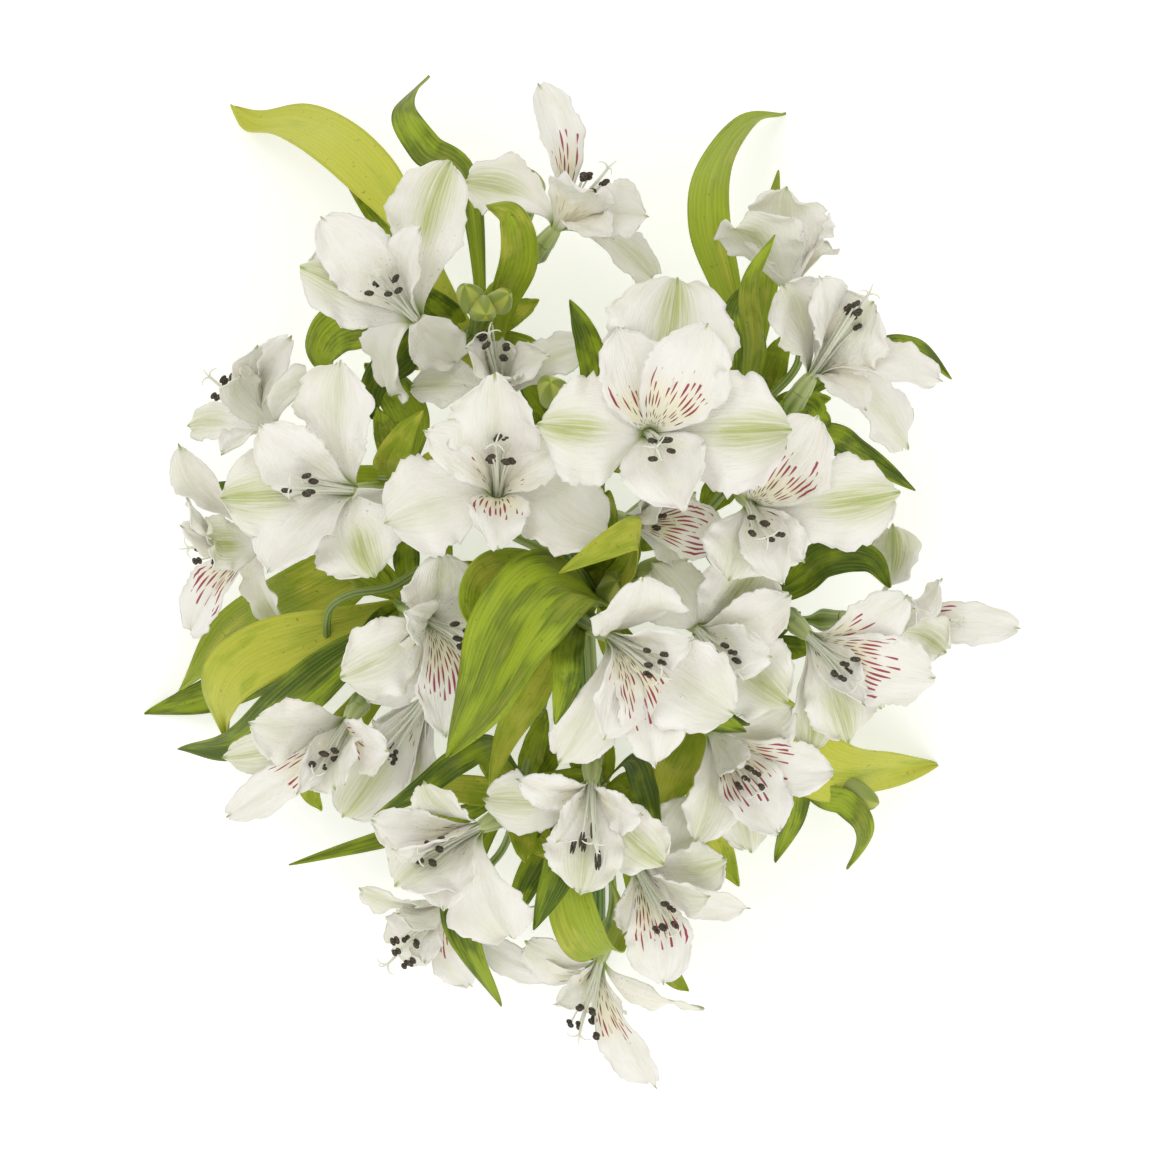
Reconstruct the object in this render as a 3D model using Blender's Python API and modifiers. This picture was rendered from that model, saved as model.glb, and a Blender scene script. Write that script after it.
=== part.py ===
"""A cut stem of white alstroemeria, laid down with its head of blooms facing up.

The main stem lies along the ground under the head and curves up into the umbel. Ten rays rise
from its swollen end. Each ray forks into flower stalks, and carries leaves and buds of its own.
"""

import math

import bmesh
import bpy
from mathutils import Matrix, Vector

# Lengths are in millimetres until the last step turns them into metres.
MM = 0.001

# The head is laid out in plan, as it is seen from straight above. A place is given as x, y, z:
# x and y are read in the plane PLAN_HEIGHT, and a lower place spreads out with the sight line.
EYE_HEIGHT = 1300.0
PLAN_HEIGHT = 100.0

# This brings the middle of the head's own box over the origin, with its lowest leaf at zero.
SHIFT = Vector((3.2, -1.0, 0.3))

# Driving sizes of the stem and its stalks, as radii.
STEM_RADIUS = 3.0
STEM_SWELL = 8.8
RAY_RADIUS = 1.6
STALK_RADIUS = 1.1
OVARY_RADIUS = 3.1
OVARY_LENGTH = 10.0
KNUCKLE_RADIUS = 3.2
RAY_FOOT = 2.0
SEAT_GAP = 0.3

# A leaf leaves its ray this share of the way up, and each next leaf this much lower.
LEAF_START = 0.96
LEAF_STEP = 0.045
LEAF_CHANNEL = 0.14

# Driving sizes of a bloom: its short green tube, the stamens as one slim bundle, and how far the
# claw of a tepal starts under the throat and away from the axis.
TUBE_DEPTH = 8.0
TUBE_RADIUS = 3.8
STAMEN_LENGTH = 26.0
STAMEN_ROOT = 1.2
STAMEN_HEAD = 2.2
CLAW_SINK = 2.0
CLAW_SPREAD = 1.2

# The rows of a tepal lie closer towards its tip, and its last part runs straight for TIP_REACH.
ROW_EASE = 1.3
TIP_REACH = 0.38

# Every blade has this thickness, and corners nearer than MERGE are one.
BLADE_THICKNESS = 0.75
MERGE = 0.003

# A blade wider than this is folded along its midrib.
BROAD = 18.5

# The main stem, from its cut end on the ground to the swollen end.
STEM_PATH = [(4, -110, 3.2), (4, -84, 3.2), (3, -58, 3.2), (1, -34, 4), (0, -14, 9), (0, 0, 22), (0, 5, 40)]
UMBEL_CENTRE = (0, 5, 42)
RAY_RING = 6.6

# A bloom: where its throat is, where it faces (azimuth and elevation in degrees), the ray that
# carries it, and its tepals. A tepal has a kind, the plan of its tip, the rise of its tip above
# the throat, and its width.
BLOOMS = {
    "bloom_1": dict(ray="ray_1", throat=(-46, 73, 92), faces=(135, 55), tepals=[
        ("outer", -37, 115, 12, 24), ("outer", -76, 86, 14, 26), ("outer", -52, 53, -22, 22),
        ("upper", -71, 100, 16, 20), ("upper", -45, 97, 30, 15), ("lower", -35, 61, -16, 16)]),
    "bloom_2": dict(ray="ray_1", throat=(-6, 99, 78), faces=(50, 42), tepals=[
        ("outer", 17, 102, 26, 18), ("outer", -30, 113, -4, 18), ("outer", 20, 84, -14, 16),
        ("upper", -12, 137, 22, 13), ("upper", -3, 120, 30, 16), ("lower", 8, 96, 30, 12)]),
    "bloom_3": dict(ray="ray_3", throat=(58, 82, 72), faces=(110, 48), tepals=[
        ("outer", 41, 95, 20, 23), ("outer", 52, 105, 16, 20), ("outer", 68, 92, 12, 17),
        ("upper", 61, 107, 31, 15), ("upper", 47, 87, 35, 14), ("lower", 58, 78, 33, 11)]),
    "bloom_4": dict(ray="ray_3", throat=(65, 58, 84), faces=(57, 42), tepals=[
        ("outer", 58, 83, 24, 24), ("outer", 81, 73, 26, 26), ("outer", 90, 38, -14, 18),
        ("upper", 99, 56, 14, 13), ("upper", 68, 78, 34, 16), ("lower", 78, 50, 24, 14)]),
    "bloom_5": dict(ray="ray_2", throat=(19, 41, 126), faces=(-50, 80), tepals=[
        ("outer", 27, 82, 5, 34), ("outer", -9, 43, 10, 30), ("outer", 56, 42, 10, 32),
        ("upper", 13, 70, 14, 18), ("upper", 35, 72, 14, 19), ("lower", 30, 21, 12, 20)]),
    "bloom_6": dict(ray="ray_2", throat=(-23, 24, 108), faces=(85, 62), tepals=[
        ("outer", -24, 55, 28, 26), ("outer", -52, 17, 6, 28), ("outer", 5, 13, 6, 28),
        ("upper", -42, 41, 24, 15), ("upper", -6, 37, 14, 16), ("lower", -23, 9, 24, 17)]),
    "bloom_7": dict(ray="ray_5", throat=(-64, 25, 98), faces=(176, 58), tepals=[
        ("outer", -98, 23, 12, 26), ("outer", -58, 3, 8, 27), ("outer", -67, 59, 20, 25),
        ("upper", -88, 42, 18, 20), ("upper", -86, 4, 13, 22), ("lower", -50, 17, -7, 14)]),
    "bloom_8": dict(ray="ray_5", throat=(-86, 42, 66), faces=(140, 35), tepals=[
        ("outer", -108, 43, -16, 12), ("outer", -95, 57, 28, 13), ("outer", -75, 56, -12, 20),
        ("upper", -81, 67, 20, 12), ("upper", -90, 64, 28, 12), ("lower", -99, 36, 14, 11)]),
    "bloom_9": dict(ray="ray_5", throat=(-88, 10, 62), faces=(187, 38), tepals=[
        ("outer", -111, 36, 22, 13), ("outer", -102, 11, 26, 16), ("outer", -85, -10, -12, 16),
        ("upper", -109, 22, 24, 14), ("upper", -108, -14, -14, 15), ("lower", -110, 15, 26, 12)]),
    "bloom_10": dict(ray="ray_6", throat=(-42, -11, 90), faces=(-25, 58), tepals=[
        ("outer", -65, -26, 14, 23), ("outer", -39, 6, 22, 22), ("outer", -26, -7, 4, 20),
        ("upper", -37, -42, 5, 18), ("upper", -58, -33, -2, 18), ("lower", -48, -9, 30, 14)]),
    "bloom_11": dict(ray="ray_6", throat=(-65, -40, 74), faces=(240, 58), tepals=[
        ("outer", -90, -40, 20, 20), ("outer", -98, -49, 0, 12), ("outer", -68, -57, 22, 20),
        ("upper", -97, -65, -4, 12), ("upper", -54, -47, 24, 17), ("lower", -78, -58, 18, 11)]),
    "bloom_12": dict(ray="ray_6", throat=(-43, -33, 76), faces=(235, -15), tepals=[
        ("outer", -46, -58, -22, 24), ("outer", -65, -64, -20, 18), ("outer", -50, -46, -36, 20),
        ("upper", -54, -61, -28, 18), ("upper", -37, -54, -34, 16), ("lower", -60, -52, -32, 12)]),
    "bloom_13": dict(ray="ray_7", throat=(-29, -69, 86), faces=(203, 50), tepals=[
        ("outer", -20, -98, -12, 26), ("outer", -50, -83, 16, 26), ("outer", -43, -57, 22, 15),
        ("upper", -57, -67, 14, 14), ("upper", -38, -90, 14, 18), ("lower", -51, -75, 26, 11)]),
    "bloom_14": dict(ray="ray_7", throat=(-36, -90, 40), faces=(225, 20), tepals=[
        ("outer", -60, -86, 10, 13), ("outer", -51, -102, -12, 18), ("outer", -31, -97, 12, 16),
        ("upper", -31, -112, -8, 14), ("upper", -43, -105, 6, 14), ("lower", -50, -93, 10, 12)]),
    "bloom_15": dict(ray="ray_10", throat=(9, -16, 118), faces=(-32, 52), tepals=[
        ("outer", 17, -1, 22, 26), ("outer", -5, -49, -4, 18), ("outer", 41, -36, 8, 26),
        ("upper", 21, -50, 8, 20), ("upper", 7, -43, 16, 15), ("lower", 30, -17, 20, 14)]),
    "bloom_16": dict(ray="ray_9", throat=(33, -14, 92), faces=(-50, 60), tepals=[
        ("outer", 49, 4, 12, 27), ("outer", 56, -33, 4, 25), ("outer", 21, 3, 2, 20),
        ("upper", 57, -5, 12, 17), ("upper", 52, -21, 15, 16), ("lower", 39, -28, 7, 12)]),
    "bloom_17": dict(ray="ray_4", throat=(47, 21, 110), faces=(-70, 70), tepals=[
        ("outer", 86, 24, 6, 26), ("outer", 42, 2, 6, 22), ("outer", 45, 42, -14, 20),
        ("upper", 65, 44, 13, 23), ("upper", 61, 6, 5, 14), ("lower", 56, 0, 11, 14)]),
    "bloom_18": dict(ray="ray_10", throat=(14, 17, 98), faces=(-5, 20), tepals=[
        ("outer", 32, 23, -4, 12), ("outer", 31, 8, -4, 12), ("outer", 20, 27, 12, 10),
        ("upper", 37, 15, 8, 14), ("upper", 27, 18, -16, 10), ("lower", 25, 8, 12, 9)]),
    "bloom_19": dict(ray="ray_9", throat=(64, -16, 84), faces=(-45, 52), tepals=[
        ("outer", 64, -46, -4, 15), ("outer", 74, -43, 1, 20), ("outer", 83, -35, -10, 17),
        ("upper", 90, -5, 12, 16), ("upper", 97, -27, 6, 21), ("lower", 78, -33, 14, 12)]),
    "bloom_20": dict(ray="ray_9", throat=(80, -11, 62), faces=(0, 18), tepals=[
        ("outer", 87, 14, 4, 13), ("outer", 101, -19, 8, 20), ("outer", 90, -24, -14, 16),
        ("upper", 121, -13, 2, 12), ("upper", 100, -1, 12, 13), ("lower", 93, -8, 20, 11)]),
    "bloom_21": dict(ray="ray_9", throat=(37, -43, 76), faces=(-50, 42), tepals=[
        ("outer", 33, -71, 6, 18), ("outer", 58, -36, 10, 17), ("outer", 47, -74, -6, 16),
        ("upper", 69, -53, 4, 17), ("upper", 54, -69, 6, 19), ("lower", 46, -54, 22, 12)]),
    "bloom_22": dict(ray="ray_8", throat=(3, -57, 94), faces=(-92, 55), tepals=[
        ("outer", -25, -61, -2, 19), ("outer", 0, -85, 6, 22), ("outer", 22, -78, 0, 20),
        ("upper", -16, -56, 12, 12), ("upper", 16, -65, 16, 14), ("lower", -6, -72, 14, 12)]),
    "bloom_23": dict(ray="ray_8", throat=(16, -80, 70), faces=(-60, 42), tepals=[
        ("outer", 39, -78, 6, 18), ("outer", 30, -61, 8, 17), ("outer", 34, -88, 16, 15),
        ("upper", 23, -111, 2, 19), ("upper", 45, -91, 4, 11), ("lower", 12, -97, -8, 12)]),
    "bloom_24": dict(ray="ray_8", throat=(5, -107, 46), faces=(255, 42), tepals=[
        ("outer", 33, -118, 0, 15), ("outer", -14, -101, 10, 16), ("outer", 5, -119, -20, 18),
        ("upper", 20, -139, 0, 14), ("upper", -27, -101, 2, 12), ("lower", -6, -117, 6, 12)]),
    "bloom_25": dict(ray="ray_2", throat=(-22, 51, 76), faces=(100, 48), tepals=[
        ("outer", 1, 65, 4, 15), ("outer", -22, 66, 6, 14), ("outer", -46, 54, -4, 17),
        ("upper", -31, 64, 18, 16), ("upper", -10, 62, 20, 13), ("lower", -19, 56, 26, 10)]),
}

# A ray: where it forks, and where on the ring round the swollen end it starts, in degrees. The
# last ray starts in the middle of the ring.
RAYS = {
    "ray_1": ((-30, 68, 60), 128),
    "ray_2": ((-6, 42, 64), 90),
    "ray_3": ((50, 48, 60), 50),
    "ray_4": ((33, 17, 70), 10),
    "ray_5": ((-50, 28, 62), 165),
    "ray_6": ((-48, -6, 62), 202),
    "ray_7": ((-17, -60, 48), 243),
    "ray_8": ((5, -60, 50), 285),
    "ray_9": ((44, -19, 58), 328),
    "ray_10": ((5, -5, 72), None),
}

# Flower stalks that bend on their way, with the places they pass.
STALK_BENDS = {
    "bloom_11": [(-44, 3, 70), (-53, -2, 76), (-64, -4, 76), (-70, -9, 70), (-69, -20, 60)],
}

# A leaf: the ray that carries it, the places it passes on its way from the ray to its tip, and its
# width.
LEAVES = {
    "leaf_1": ("ray_1", [(-47, 95, 62), (-61, 117, 56), (-78, 129, 34), (-97, 132, 0)], 16),
    "leaf_2": ("ray_1", [(-48, 92, 50), (-58, 104, 48), (-66, 113, 50)], 8),
    "leaf_3": ("ray_1", [(-31, 108, 58), (-43, 120, 54), (-49, 131, 44), (-42, 140, 30)], 10),
    "leaf_4": ("ray_1", [(-21, 78, 76), (-17, 90, 88), (-19, 101, 92), (-26, 104, 88)], 11),
    "leaf_5": ("ray_3", [(42, 76, 58), (36, 97, 54), (37, 114, 40), (46, 127, 16), (57, 130, 0)], 12),
    "leaf_6": ("ray_3", [(52, 80, 50), (53, 100, 50), (55, 114, 48)], 6),
    "leaf_7": ("ray_3", [(48, 64, 92), (47, 82, 112), (54, 96, 118)], 6),
    "leaf_8": ("ray_3", [(46, 62, 68), (44, 74, 70), (48, 83, 66)], 12),
    "leaf_9": ("ray_2", [(4, 54, 82), (2, 67, 92), (-3, 78, 94)], 9),
    "leaf_10": ("ray_1", [(-50, 70, 62), (-65, 71, 65), (-72, 64, 60), (-69, 56, 52)], 15),
    "leaf_11": ("ray_5", [(-47, 43, 58), (-53, 54, 54), (-60, 60, 50)], 12),
    "leaf_12": ("ray_5", [(-53, 31, 82), (-50, 39, 90), (-44, 47, 84)], 9),
    "leaf_13": ("ray_5", [(-70, 26, 56), (-92, 25, 52), (-109, 26, 46)], 8),
    "leaf_14": ("ray_6", [(-60, 2, 58), (-78, -5, 50), (-96, -14, 30), (-112, -31, 4)], 19),
    "leaf_15": ("ray_6", [(-80, -21, 32), (-101, -31, 12), (-121, -37, 0)], 13),
    "leaf_16": ("ray_6", [(-72, -14, 64), (-92, -22, 56), (-100, -33, 44), (-99, -43, 32)], 18),
    "leaf_17": ("ray_6", [(-64, -20, 72), (-80, -33, 62), (-95, -45, 38), (-112, -47, 16)], 14),
    "leaf_18": ("ray_6", [(-70, -42, 48), (-84, -51, 44), (-91, -60, 40)], 6),
    "leaf_19": ("ray_6", [(-66, -44, 50), (-75, -56, 46), (-72, -64, 44)], 9),
    "leaf_20": ("ray_7", [(-35, -66, 42), (-52, -71, 34), (-81, -79, 26)], 7),
    "leaf_21": ("ray_10", [(2, -3, 108), (-8, -2, 126), (-18, -13, 130), (-27, -32, 122),
                           (-37, -49, 106)], 27),
    "leaf_22": ("ray_7", [(-24, -46, 74), (-34, -50, 86), (-46, -59, 82), (-57, -65, 74)], 8),
    "leaf_23": ("ray_10", [(-13, 3, 102), (-26, 0, 117), (-29, -8, 120), (-26, -16, 120)], 14),
    "leaf_24": ("ray_10", [(5, 4, 80), (10, 10, 84), (17, 15, 80)], 12),
    "leaf_25": ("ray_10", [(-3, -16, 116), (-4, -28, 128), (-7, -40, 124)], 9),
    "leaf_26": ("ray_9", [(26, -30, 82), (34, -36, 96), (47, -40, 96)], 11),
    "leaf_27": ("ray_10", [(-12, -30, 84), (-20, -42, 84), (-25, -57, 78)], 9),
    "leaf_28": ("ray_9", [(30, -46, 66), (25, -56, 76), (22, -65, 72)], 14),
    "leaf_29": ("ray_8", [(14, -50, 70), (18, -58, 84), (20, -66, 90), (22, -76, 88)], 8),
    "leaf_30": ("ray_9", [(56, -40, 50), (68, -52, 40), (84, -53, 20), (99, -51, 0)], 20),
    "leaf_31": ("ray_9", [(56, -48, 44), (59, -64, 36), (54, -78, 22)], 10),
    "leaf_32": ("ray_9", [(62, -55, 38), (74, -62, 32), (79, -70, 26), (74, -80, 14)], 8),
    "leaf_33": ("ray_9", [(34, -60, 48), (38, -74, 42), (44, -85, 38)], 11),
    "leaf_34": ("ray_9", [(57, -2, 70), (68, 6, 76), (80, 6, 78), (86, -2, 76)], 11),
    "leaf_35": ("ray_3", [(66, 40, 60), (78, 35, 56), (93, 25, 46)], 9),
    "leaf_36": ("ray_3", [(60, 48, 64), (66, 45, 64), (69, 42, 60)], 8),
    "leaf_37": ("ray_3", [(75, 60, 60), (92, 65, 58), (103, 56, 48)], 7),
    "leaf_38": ("ray_8", [(-1, -67, 76), (-6, -81, 91), (-13, -97, 90)], 12),
    "leaf_39": ("ray_8", [(-8, -72, 50), (-15, -84, 50), (-20, -97, 44)], 9),
    "leaf_40": ("ray_8", [(-1, -73, 72), (-3, -88, 80), (2, -101, 78), (12, -102, 84), (13, -91, 92),
                          (8, -80, 92)], 20),
    "leaf_41": ("ray_7", [(-31, -80, 60), (-34, -92, 62), (-30, -104, 58), (-22, -118, 44)], 10),
    "leaf_42": ("ray_8", [(18, -94, 36), (24, -108, 30), (30, -114, 24)], 8),
}

# A bud: its ray, where its middle is, where it points, its length and its radius.
BUDS = {
    "bud_1": ("ray_1", (-31, 79, 90), (110, 60), 11, 4.0),
    "bud_2": ("ray_1", (-27, 75, 92), (-60, 70), 10, 3.8),
    "bud_3": ("ray_1", (-22, 78, 88), (30, 60), 10, 3.8),
    "bud_4": ("ray_1", (-14, 110, 54), (100, 30), 10, 4.0),
    "bud_5": ("ray_2", (-8, 53, 94), (100, 75), 14, 4.6),
    "bud_6": ("ray_10", (9, -2, 94), (60, 70), 12, 4.6),
    "bud_7": ("ray_10", (21, 3, 82), (20, 40), 12, 4.4),
    "bud_8": ("ray_9", (75, -59, 26), (-20, 5), 18, 6.0),
}

# The three kinds of tepal: the width of the claw, where the blade is broadest, how it closes at
# the tip, its cup, the curl of its tip in degrees, and how far it first goes along the bloom's
# axis and away from it, as shares of its length.
KINDS = {
    "outer": dict(claw=0.10, belly=0.64, point=0.37, power=0.5, cup=0.16, curl=24, rise=0.20, flare=0.20),
    "upper": dict(claw=0.14, belly=0.60, point=0.44, power=0.7, cup=0.22, curl=26, rise=0.33, flare=0.10),
    "lower": dict(claw=0.18, belly=0.55, point=0.47, power=0.8, cup=0.30, curl=20, rise=0.28, flare=0.11),
}
LEAF_SHAPE = dict(claw=0.22, belly=0.42, point=0.585, power=0.9)


def place(x, y, z):
    """The point that is seen at x, y in the plan and lies at height z."""
    spread = (EYE_HEIGHT - z) / (EYE_HEIGHT - PLAN_HEIGHT)
    return Vector((x * spread, y * spread, z)) + SHIFT


def heading(azimuth, elevation):
    """The unit vector that points along an azimuth and an elevation, in degrees."""
    a = math.radians(azimuth)
    e = math.radians(elevation)
    return Vector((math.cos(a) * math.cos(e), math.sin(a) * math.cos(e), math.sin(e)))


def bezier(a, b, c, d, s):
    """A point on the cubic curve with the control points a, b, c and d."""
    r = 1 - s
    return a * r**3 + b * 3 * r * r * s + c * 3 * r * s * s + d * s**3


def through(points, s):
    """A point at share s of a smooth curve that passes all the points."""
    last = len(points) - 1
    i = min(int(s * last), last - 1)
    u = s * last - i
    a, b = points[i], points[i + 1]
    before = points[i - 1] if i else a * 2 - b
    after = points[i + 2] if i + 2 <= last else b * 2 - a
    return bezier(a, a + (b - before) / 6, b - (after - a) / 6, b, u)


def smooth(low, high, value):
    """Zero below low, one above high, and an easy slope between them."""
    u = min(max((value - low) / (high - low), 0.0), 1.0)
    return u * u * (3 - 2 * u)


def half_width(shape, s):
    """The share of its full half width that a blade has at share s of its length."""
    grown = shape["claw"] + (1 - shape["claw"]) * smooth(0.0, shape["belly"], s)
    if s <= shape["belly"]:
        return grown
    return (1 - ((s - shape["belly"]) / shape["point"]) ** 2) ** shape["power"]


def tepal_point(throat, axis, tip, width, kind, s, t):
    """The point of a tepal at share s from claw to tip, and t from -1 to 1 across."""
    shape = KINDS[kind]
    out = tip - throat
    chord = out.length
    radial = (out - axis * out.dot(axis)).normalized()
    side = axis.cross(radial)
    start = throat - axis * CLAW_SINK + radial * CLAW_SPREAD
    first = throat + axis * shape["rise"] * chord + radial * shape["flare"] * chord
    end = Matrix.Rotation(math.radians(shape["curl"]), 3, side) @ out.normalized()
    second = tip - end * TIP_REACH * chord
    centre = bezier(start, first, second, tip, s)
    ahead = bezier(start, first, second, tip, min(s + 0.01, 1.0))
    behind = bezier(start, first, second, tip, max(s - 0.01, 0.0))
    inner = (ahead - behind).normalized().cross(side)
    half = half_width(shape, s) * width / 2
    return centre + side * t * half + inner * shape["cup"] * half * t * t


def leaf_frames(points, steps):
    """The centre, side and face of a leaf at each step, turned as little as possible."""
    centres = [through(points, i / steps) for i in range(steps + 1)]
    chord = points[-1] - points[0]
    side = Vector((chord.x, chord.y, 0.0)).normalized().cross(Vector((0, 0, 1)))
    frames = []
    for i, centre in enumerate(centres):
        ahead = centres[min(i + 1, steps)]
        behind = centres[max(i - 1, 0)]
        along = (ahead - behind).normalized()
        side = (side - along * side.dot(along)).normalized()
        frames.append((centre, side, side.cross(along)))
    return frames


def new_object(name, mesh, collection):
    thing = bpy.data.objects.new(name, mesh)
    collection.objects.link(thing)
    return thing


def blade(name, rows, width, shaped, collection):
    """A thin closed blade: a grid bent by the function shaped, then thickened."""
    mesh = bpy.data.meshes.new(name)
    grid = bmesh.new()
    bmesh.ops.create_grid(grid, x_segments=2 if width > BROAD else 1, y_segments=rows, size=1.0)
    for vert in grid.verts:
        vert.co = shaped((vert.co.y + 1) / 2, vert.co.x) * MM
    bmesh.ops.triangulate(grid, faces=grid.faces[:])
    bmesh.ops.recalc_face_normals(grid, faces=grid.faces[:])
    grid.to_mesh(mesh)
    grid.free()
    thing = new_object(name, mesh, collection)
    wall = thing.modifiers.new("wall", "SOLIDIFY")
    wall.thickness = BLADE_THICKNESS * MM
    wall.offset = 0.0
    return thing


def tube(name, points, radii, collection, corners=6):
    """A closed tube through the points, with a radius at each of them, and 4 or 6 corners."""
    curve = bpy.data.curves.new(name, "CURVE")
    curve.dimensions = "3D"
    curve.bevel_depth = MM
    curve.bevel_resolution = (corners - 4) // 2
    curve.use_fill_caps = True
    spline = curve.splines.new("POLY")
    spline.points.add(len(points) - 1)
    for spot, point, radius in zip(spline.points, points, radii):
        spot.co = (*(point * MM), 1.0)
        spot.radius = radius
    guide = new_object(name + "_path", curve, collection)
    bpy.context.view_layer.update()
    evaluated = guide.evaluated_get(bpy.context.evaluated_depsgraph_get())
    mesh = bpy.data.meshes.new_from_object(evaluated)
    bpy.data.objects.remove(guide)
    welded = bmesh.new()
    welded.from_mesh(mesh)
    bmesh.ops.remove_doubles(welded, verts=welded.verts[:], dist=0.01 * MM)
    bmesh.ops.recalc_face_normals(welded, faces=welded.faces[:])
    welded.to_mesh(mesh)
    welded.free()
    return new_object(name, mesh, collection)


def cone(name, low, high, low_radius, high_radius, sides, collection):
    """A closed cone or rod from one point to another."""
    mesh = bpy.data.meshes.new(name)
    shape = bmesh.new()
    axis = high - low
    bmesh.ops.create_cone(shape, cap_ends=True, segments=sides, radius1=low_radius * MM,
                          radius2=high_radius * MM, depth=axis.length * MM)
    turn = axis.to_track_quat("Z", "Y").to_matrix().to_4x4()
    turn.translation = (low + high) / 2 * MM
    bmesh.ops.transform(shape, matrix=turn, verts=shape.verts[:])
    shape.to_mesh(mesh)
    shape.free()
    return new_object(name, mesh, collection)


def knuckle(name, centre, collection):
    """The small swelling where a ray forks."""
    mesh = bpy.data.meshes.new(name)
    shape = bmesh.new()
    bmesh.ops.create_icosphere(shape, subdivisions=1, radius=KNUCKLE_RADIUS * MM,
                               matrix=Matrix.Translation(centre * MM))
    shape.to_mesh(mesh)
    shape.free()
    return new_object(name, mesh, collection)


def bodies(shape):
    """The vertices of each separate body of a mesh, the largest body first."""
    left = set(shape.verts)
    found = []
    while left:
        body = {left.pop()}
        edge = list(body)
        while edge:
            for link in edge.pop().link_edges:
                for vert in link.verts:
                    if vert in left:
                        left.discard(vert)
                        body.add(vert)
                        edge.append(vert)
        found.append(body)
    return sorted(found, key=len, reverse=True)


def joined(base, solver, corners):
    """The base with its join done and its faces split into triangles, and whether it is closed."""
    base.modifiers["join"].solver = solver
    bpy.context.view_layer.update()
    evaluated = base.evaluated_get(bpy.context.evaluated_depsgraph_get())
    mesh = bpy.data.meshes.new_from_object(evaluated)
    shape = bmesh.new()
    shape.from_mesh(mesh)
    for body in bodies(shape)[1:]:
        bmesh.ops.delete(shape, geom=list(body), context="VERTS")
    bmesh.ops.triangulate(shape, faces=shape.faces[:], ngon_method=corners)
    bmesh.ops.dissolve_degenerate(shape, dist=MERGE * MM, edges=shape.edges[:])
    bmesh.ops.remove_doubles(shape, verts=shape.verts[:], dist=MERGE * MM)
    wires = [edge for edge in shape.edges if not edge.link_faces]
    bmesh.ops.delete(shape, geom=wires, context="EDGES")
    bmesh.ops.triangulate(shape, faces=shape.faces[:], ngon_method=corners)
    whole = all(len(edge.link_faces) == 2 for edge in shape.edges)
    shape.to_mesh(mesh)
    shape.free()
    return mesh, whole


def fuse(name, base, others, material, collection):
    """Join the other solids to the base, and put the result in the collection as one node."""
    group = bpy.data.collections.new(name + "_others")
    bpy.context.scene.collection.children.link(group)
    for thing in others:
        for holder in list(thing.users_collection):
            holder.objects.unlink(thing)
        group.objects.link(thing)
    join = base.modifiers.new("join", "BOOLEAN")
    join.operation = "UNION"
    join.operand_type = "COLLECTION"
    join.collection = group
    for solver, corners in (("MANIFOLD", "BEAUTY"), ("MANIFOLD", "EAR_CLIP"), ("EXACT", "BEAUTY")):
        mesh, whole = joined(base, solver, corners)
        if whole:
            break
    for thing in [base] + list(group.objects):
        bpy.data.objects.remove(thing)
    bpy.data.collections.remove(group)
    mesh.name = name
    mesh.materials.clear()
    mesh.materials.append(material)
    return new_object(name, mesh, collection)


def finish(name, color, roughness):
    """A plain material of one colour."""
    material = bpy.data.materials.new(name)
    material.use_nodes = True
    shader = material.node_tree.nodes["Principled BSDF"]
    shader.inputs["Base Color"].default_value = (*color, 1.0)
    shader.inputs["Roughness"].default_value = roughness
    shader.inputs["Metallic"].default_value = 0.0
    return material


def make_bloom(name, data, material, scratch, nodes):
    """Six tepals round the bundled stamens, grown from one short tube."""
    throat = place(*data["throat"])
    axis = heading(*data["faces"])
    column = [(-TUBE_DEPTH, TUBE_RADIUS * 0.6), (0, TUBE_RADIUS), (TUBE_RADIUS, STAMEN_ROOT),
              (STAMEN_LENGTH, STAMEN_HEAD)]
    base = tube(name + "_tube", [throat + axis * h for h, _ in column], [r for _, r in column], scratch,
                corners=4)
    others = []
    for number, (kind, x, y, rise, width) in enumerate(data["tepals"]):
        tip = place(x, y, data["throat"][2] + rise)

        def shaped(s, t):
            eased = 1 - (1 - s) ** ROW_EASE
            return tepal_point(throat, axis, tip, width, kind, eased, t)

        others.append(blade(f"{name}_tepal_{number}", 3, width, shaped, scratch))
    return fuse(name, base, others, material, nodes)


def make_stalk(name, fork, seat, axis, bends, scratch):
    """A thin stalk that ends in a straight ovary, just under the bloom."""
    neck = seat - axis * OVARY_LENGTH
    if bends:
        route = [fork] + bends + [neck]
        points = [through(route, i / 10) for i in range(11)]
    else:
        reach = (neck - fork).length
        first = fork + ((neck - fork).normalized() + Vector((0, 0, 0.5))) * reach * 0.3
        second = neck - axis * max(reach * 0.35, 6.0)
        points = [bezier(fork, first, second, neck, i / 3) for i in range(4)]
    radii = [STALK_RADIUS] * len(points)
    for share, swell in ((0.45, 1.0), (1.0, 0.75)):
        points.append(neck + axis * OVARY_LENGTH * share)
        radii.append(OVARY_RADIUS * swell)
    return tube(name, points, radii, scratch, corners=4)


def make_bud(name, fork, centre, axis, length, radius, scratch):
    """A closed bud at the end of its own stalk."""
    root = centre - axis * length / 2
    points = [bezier(fork, fork + (root - fork) * 0.4, root - axis * 5.0, root, i / 3) for i in range(3)]
    radii = [STALK_RADIUS] * 3
    for share, swell in ((0.0, 0.35), (0.3, 0.9), (0.7, 0.9), (1.0, 0.2)):
        points.append(root + axis * length * share)
        radii.append(radius * swell)
    return tube(name, points, radii, scratch, corners=4)


def make_leaf(name, points, width, scratch):
    """A leaf along its own curve, a little channelled."""
    rows = max(len(points) - 1, 3)
    steps = rows * 4
    frames = leaf_frames(points, steps)

    def shaped(s, t):
        centre, side, face = frames[round(s * steps)]
        half = half_width(LEAF_SHAPE, s) * width / 2
        return centre + side * t * half + face * LEAF_CHANNEL * half * t * t

    return blade(name, rows, width, shaped, scratch)


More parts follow.
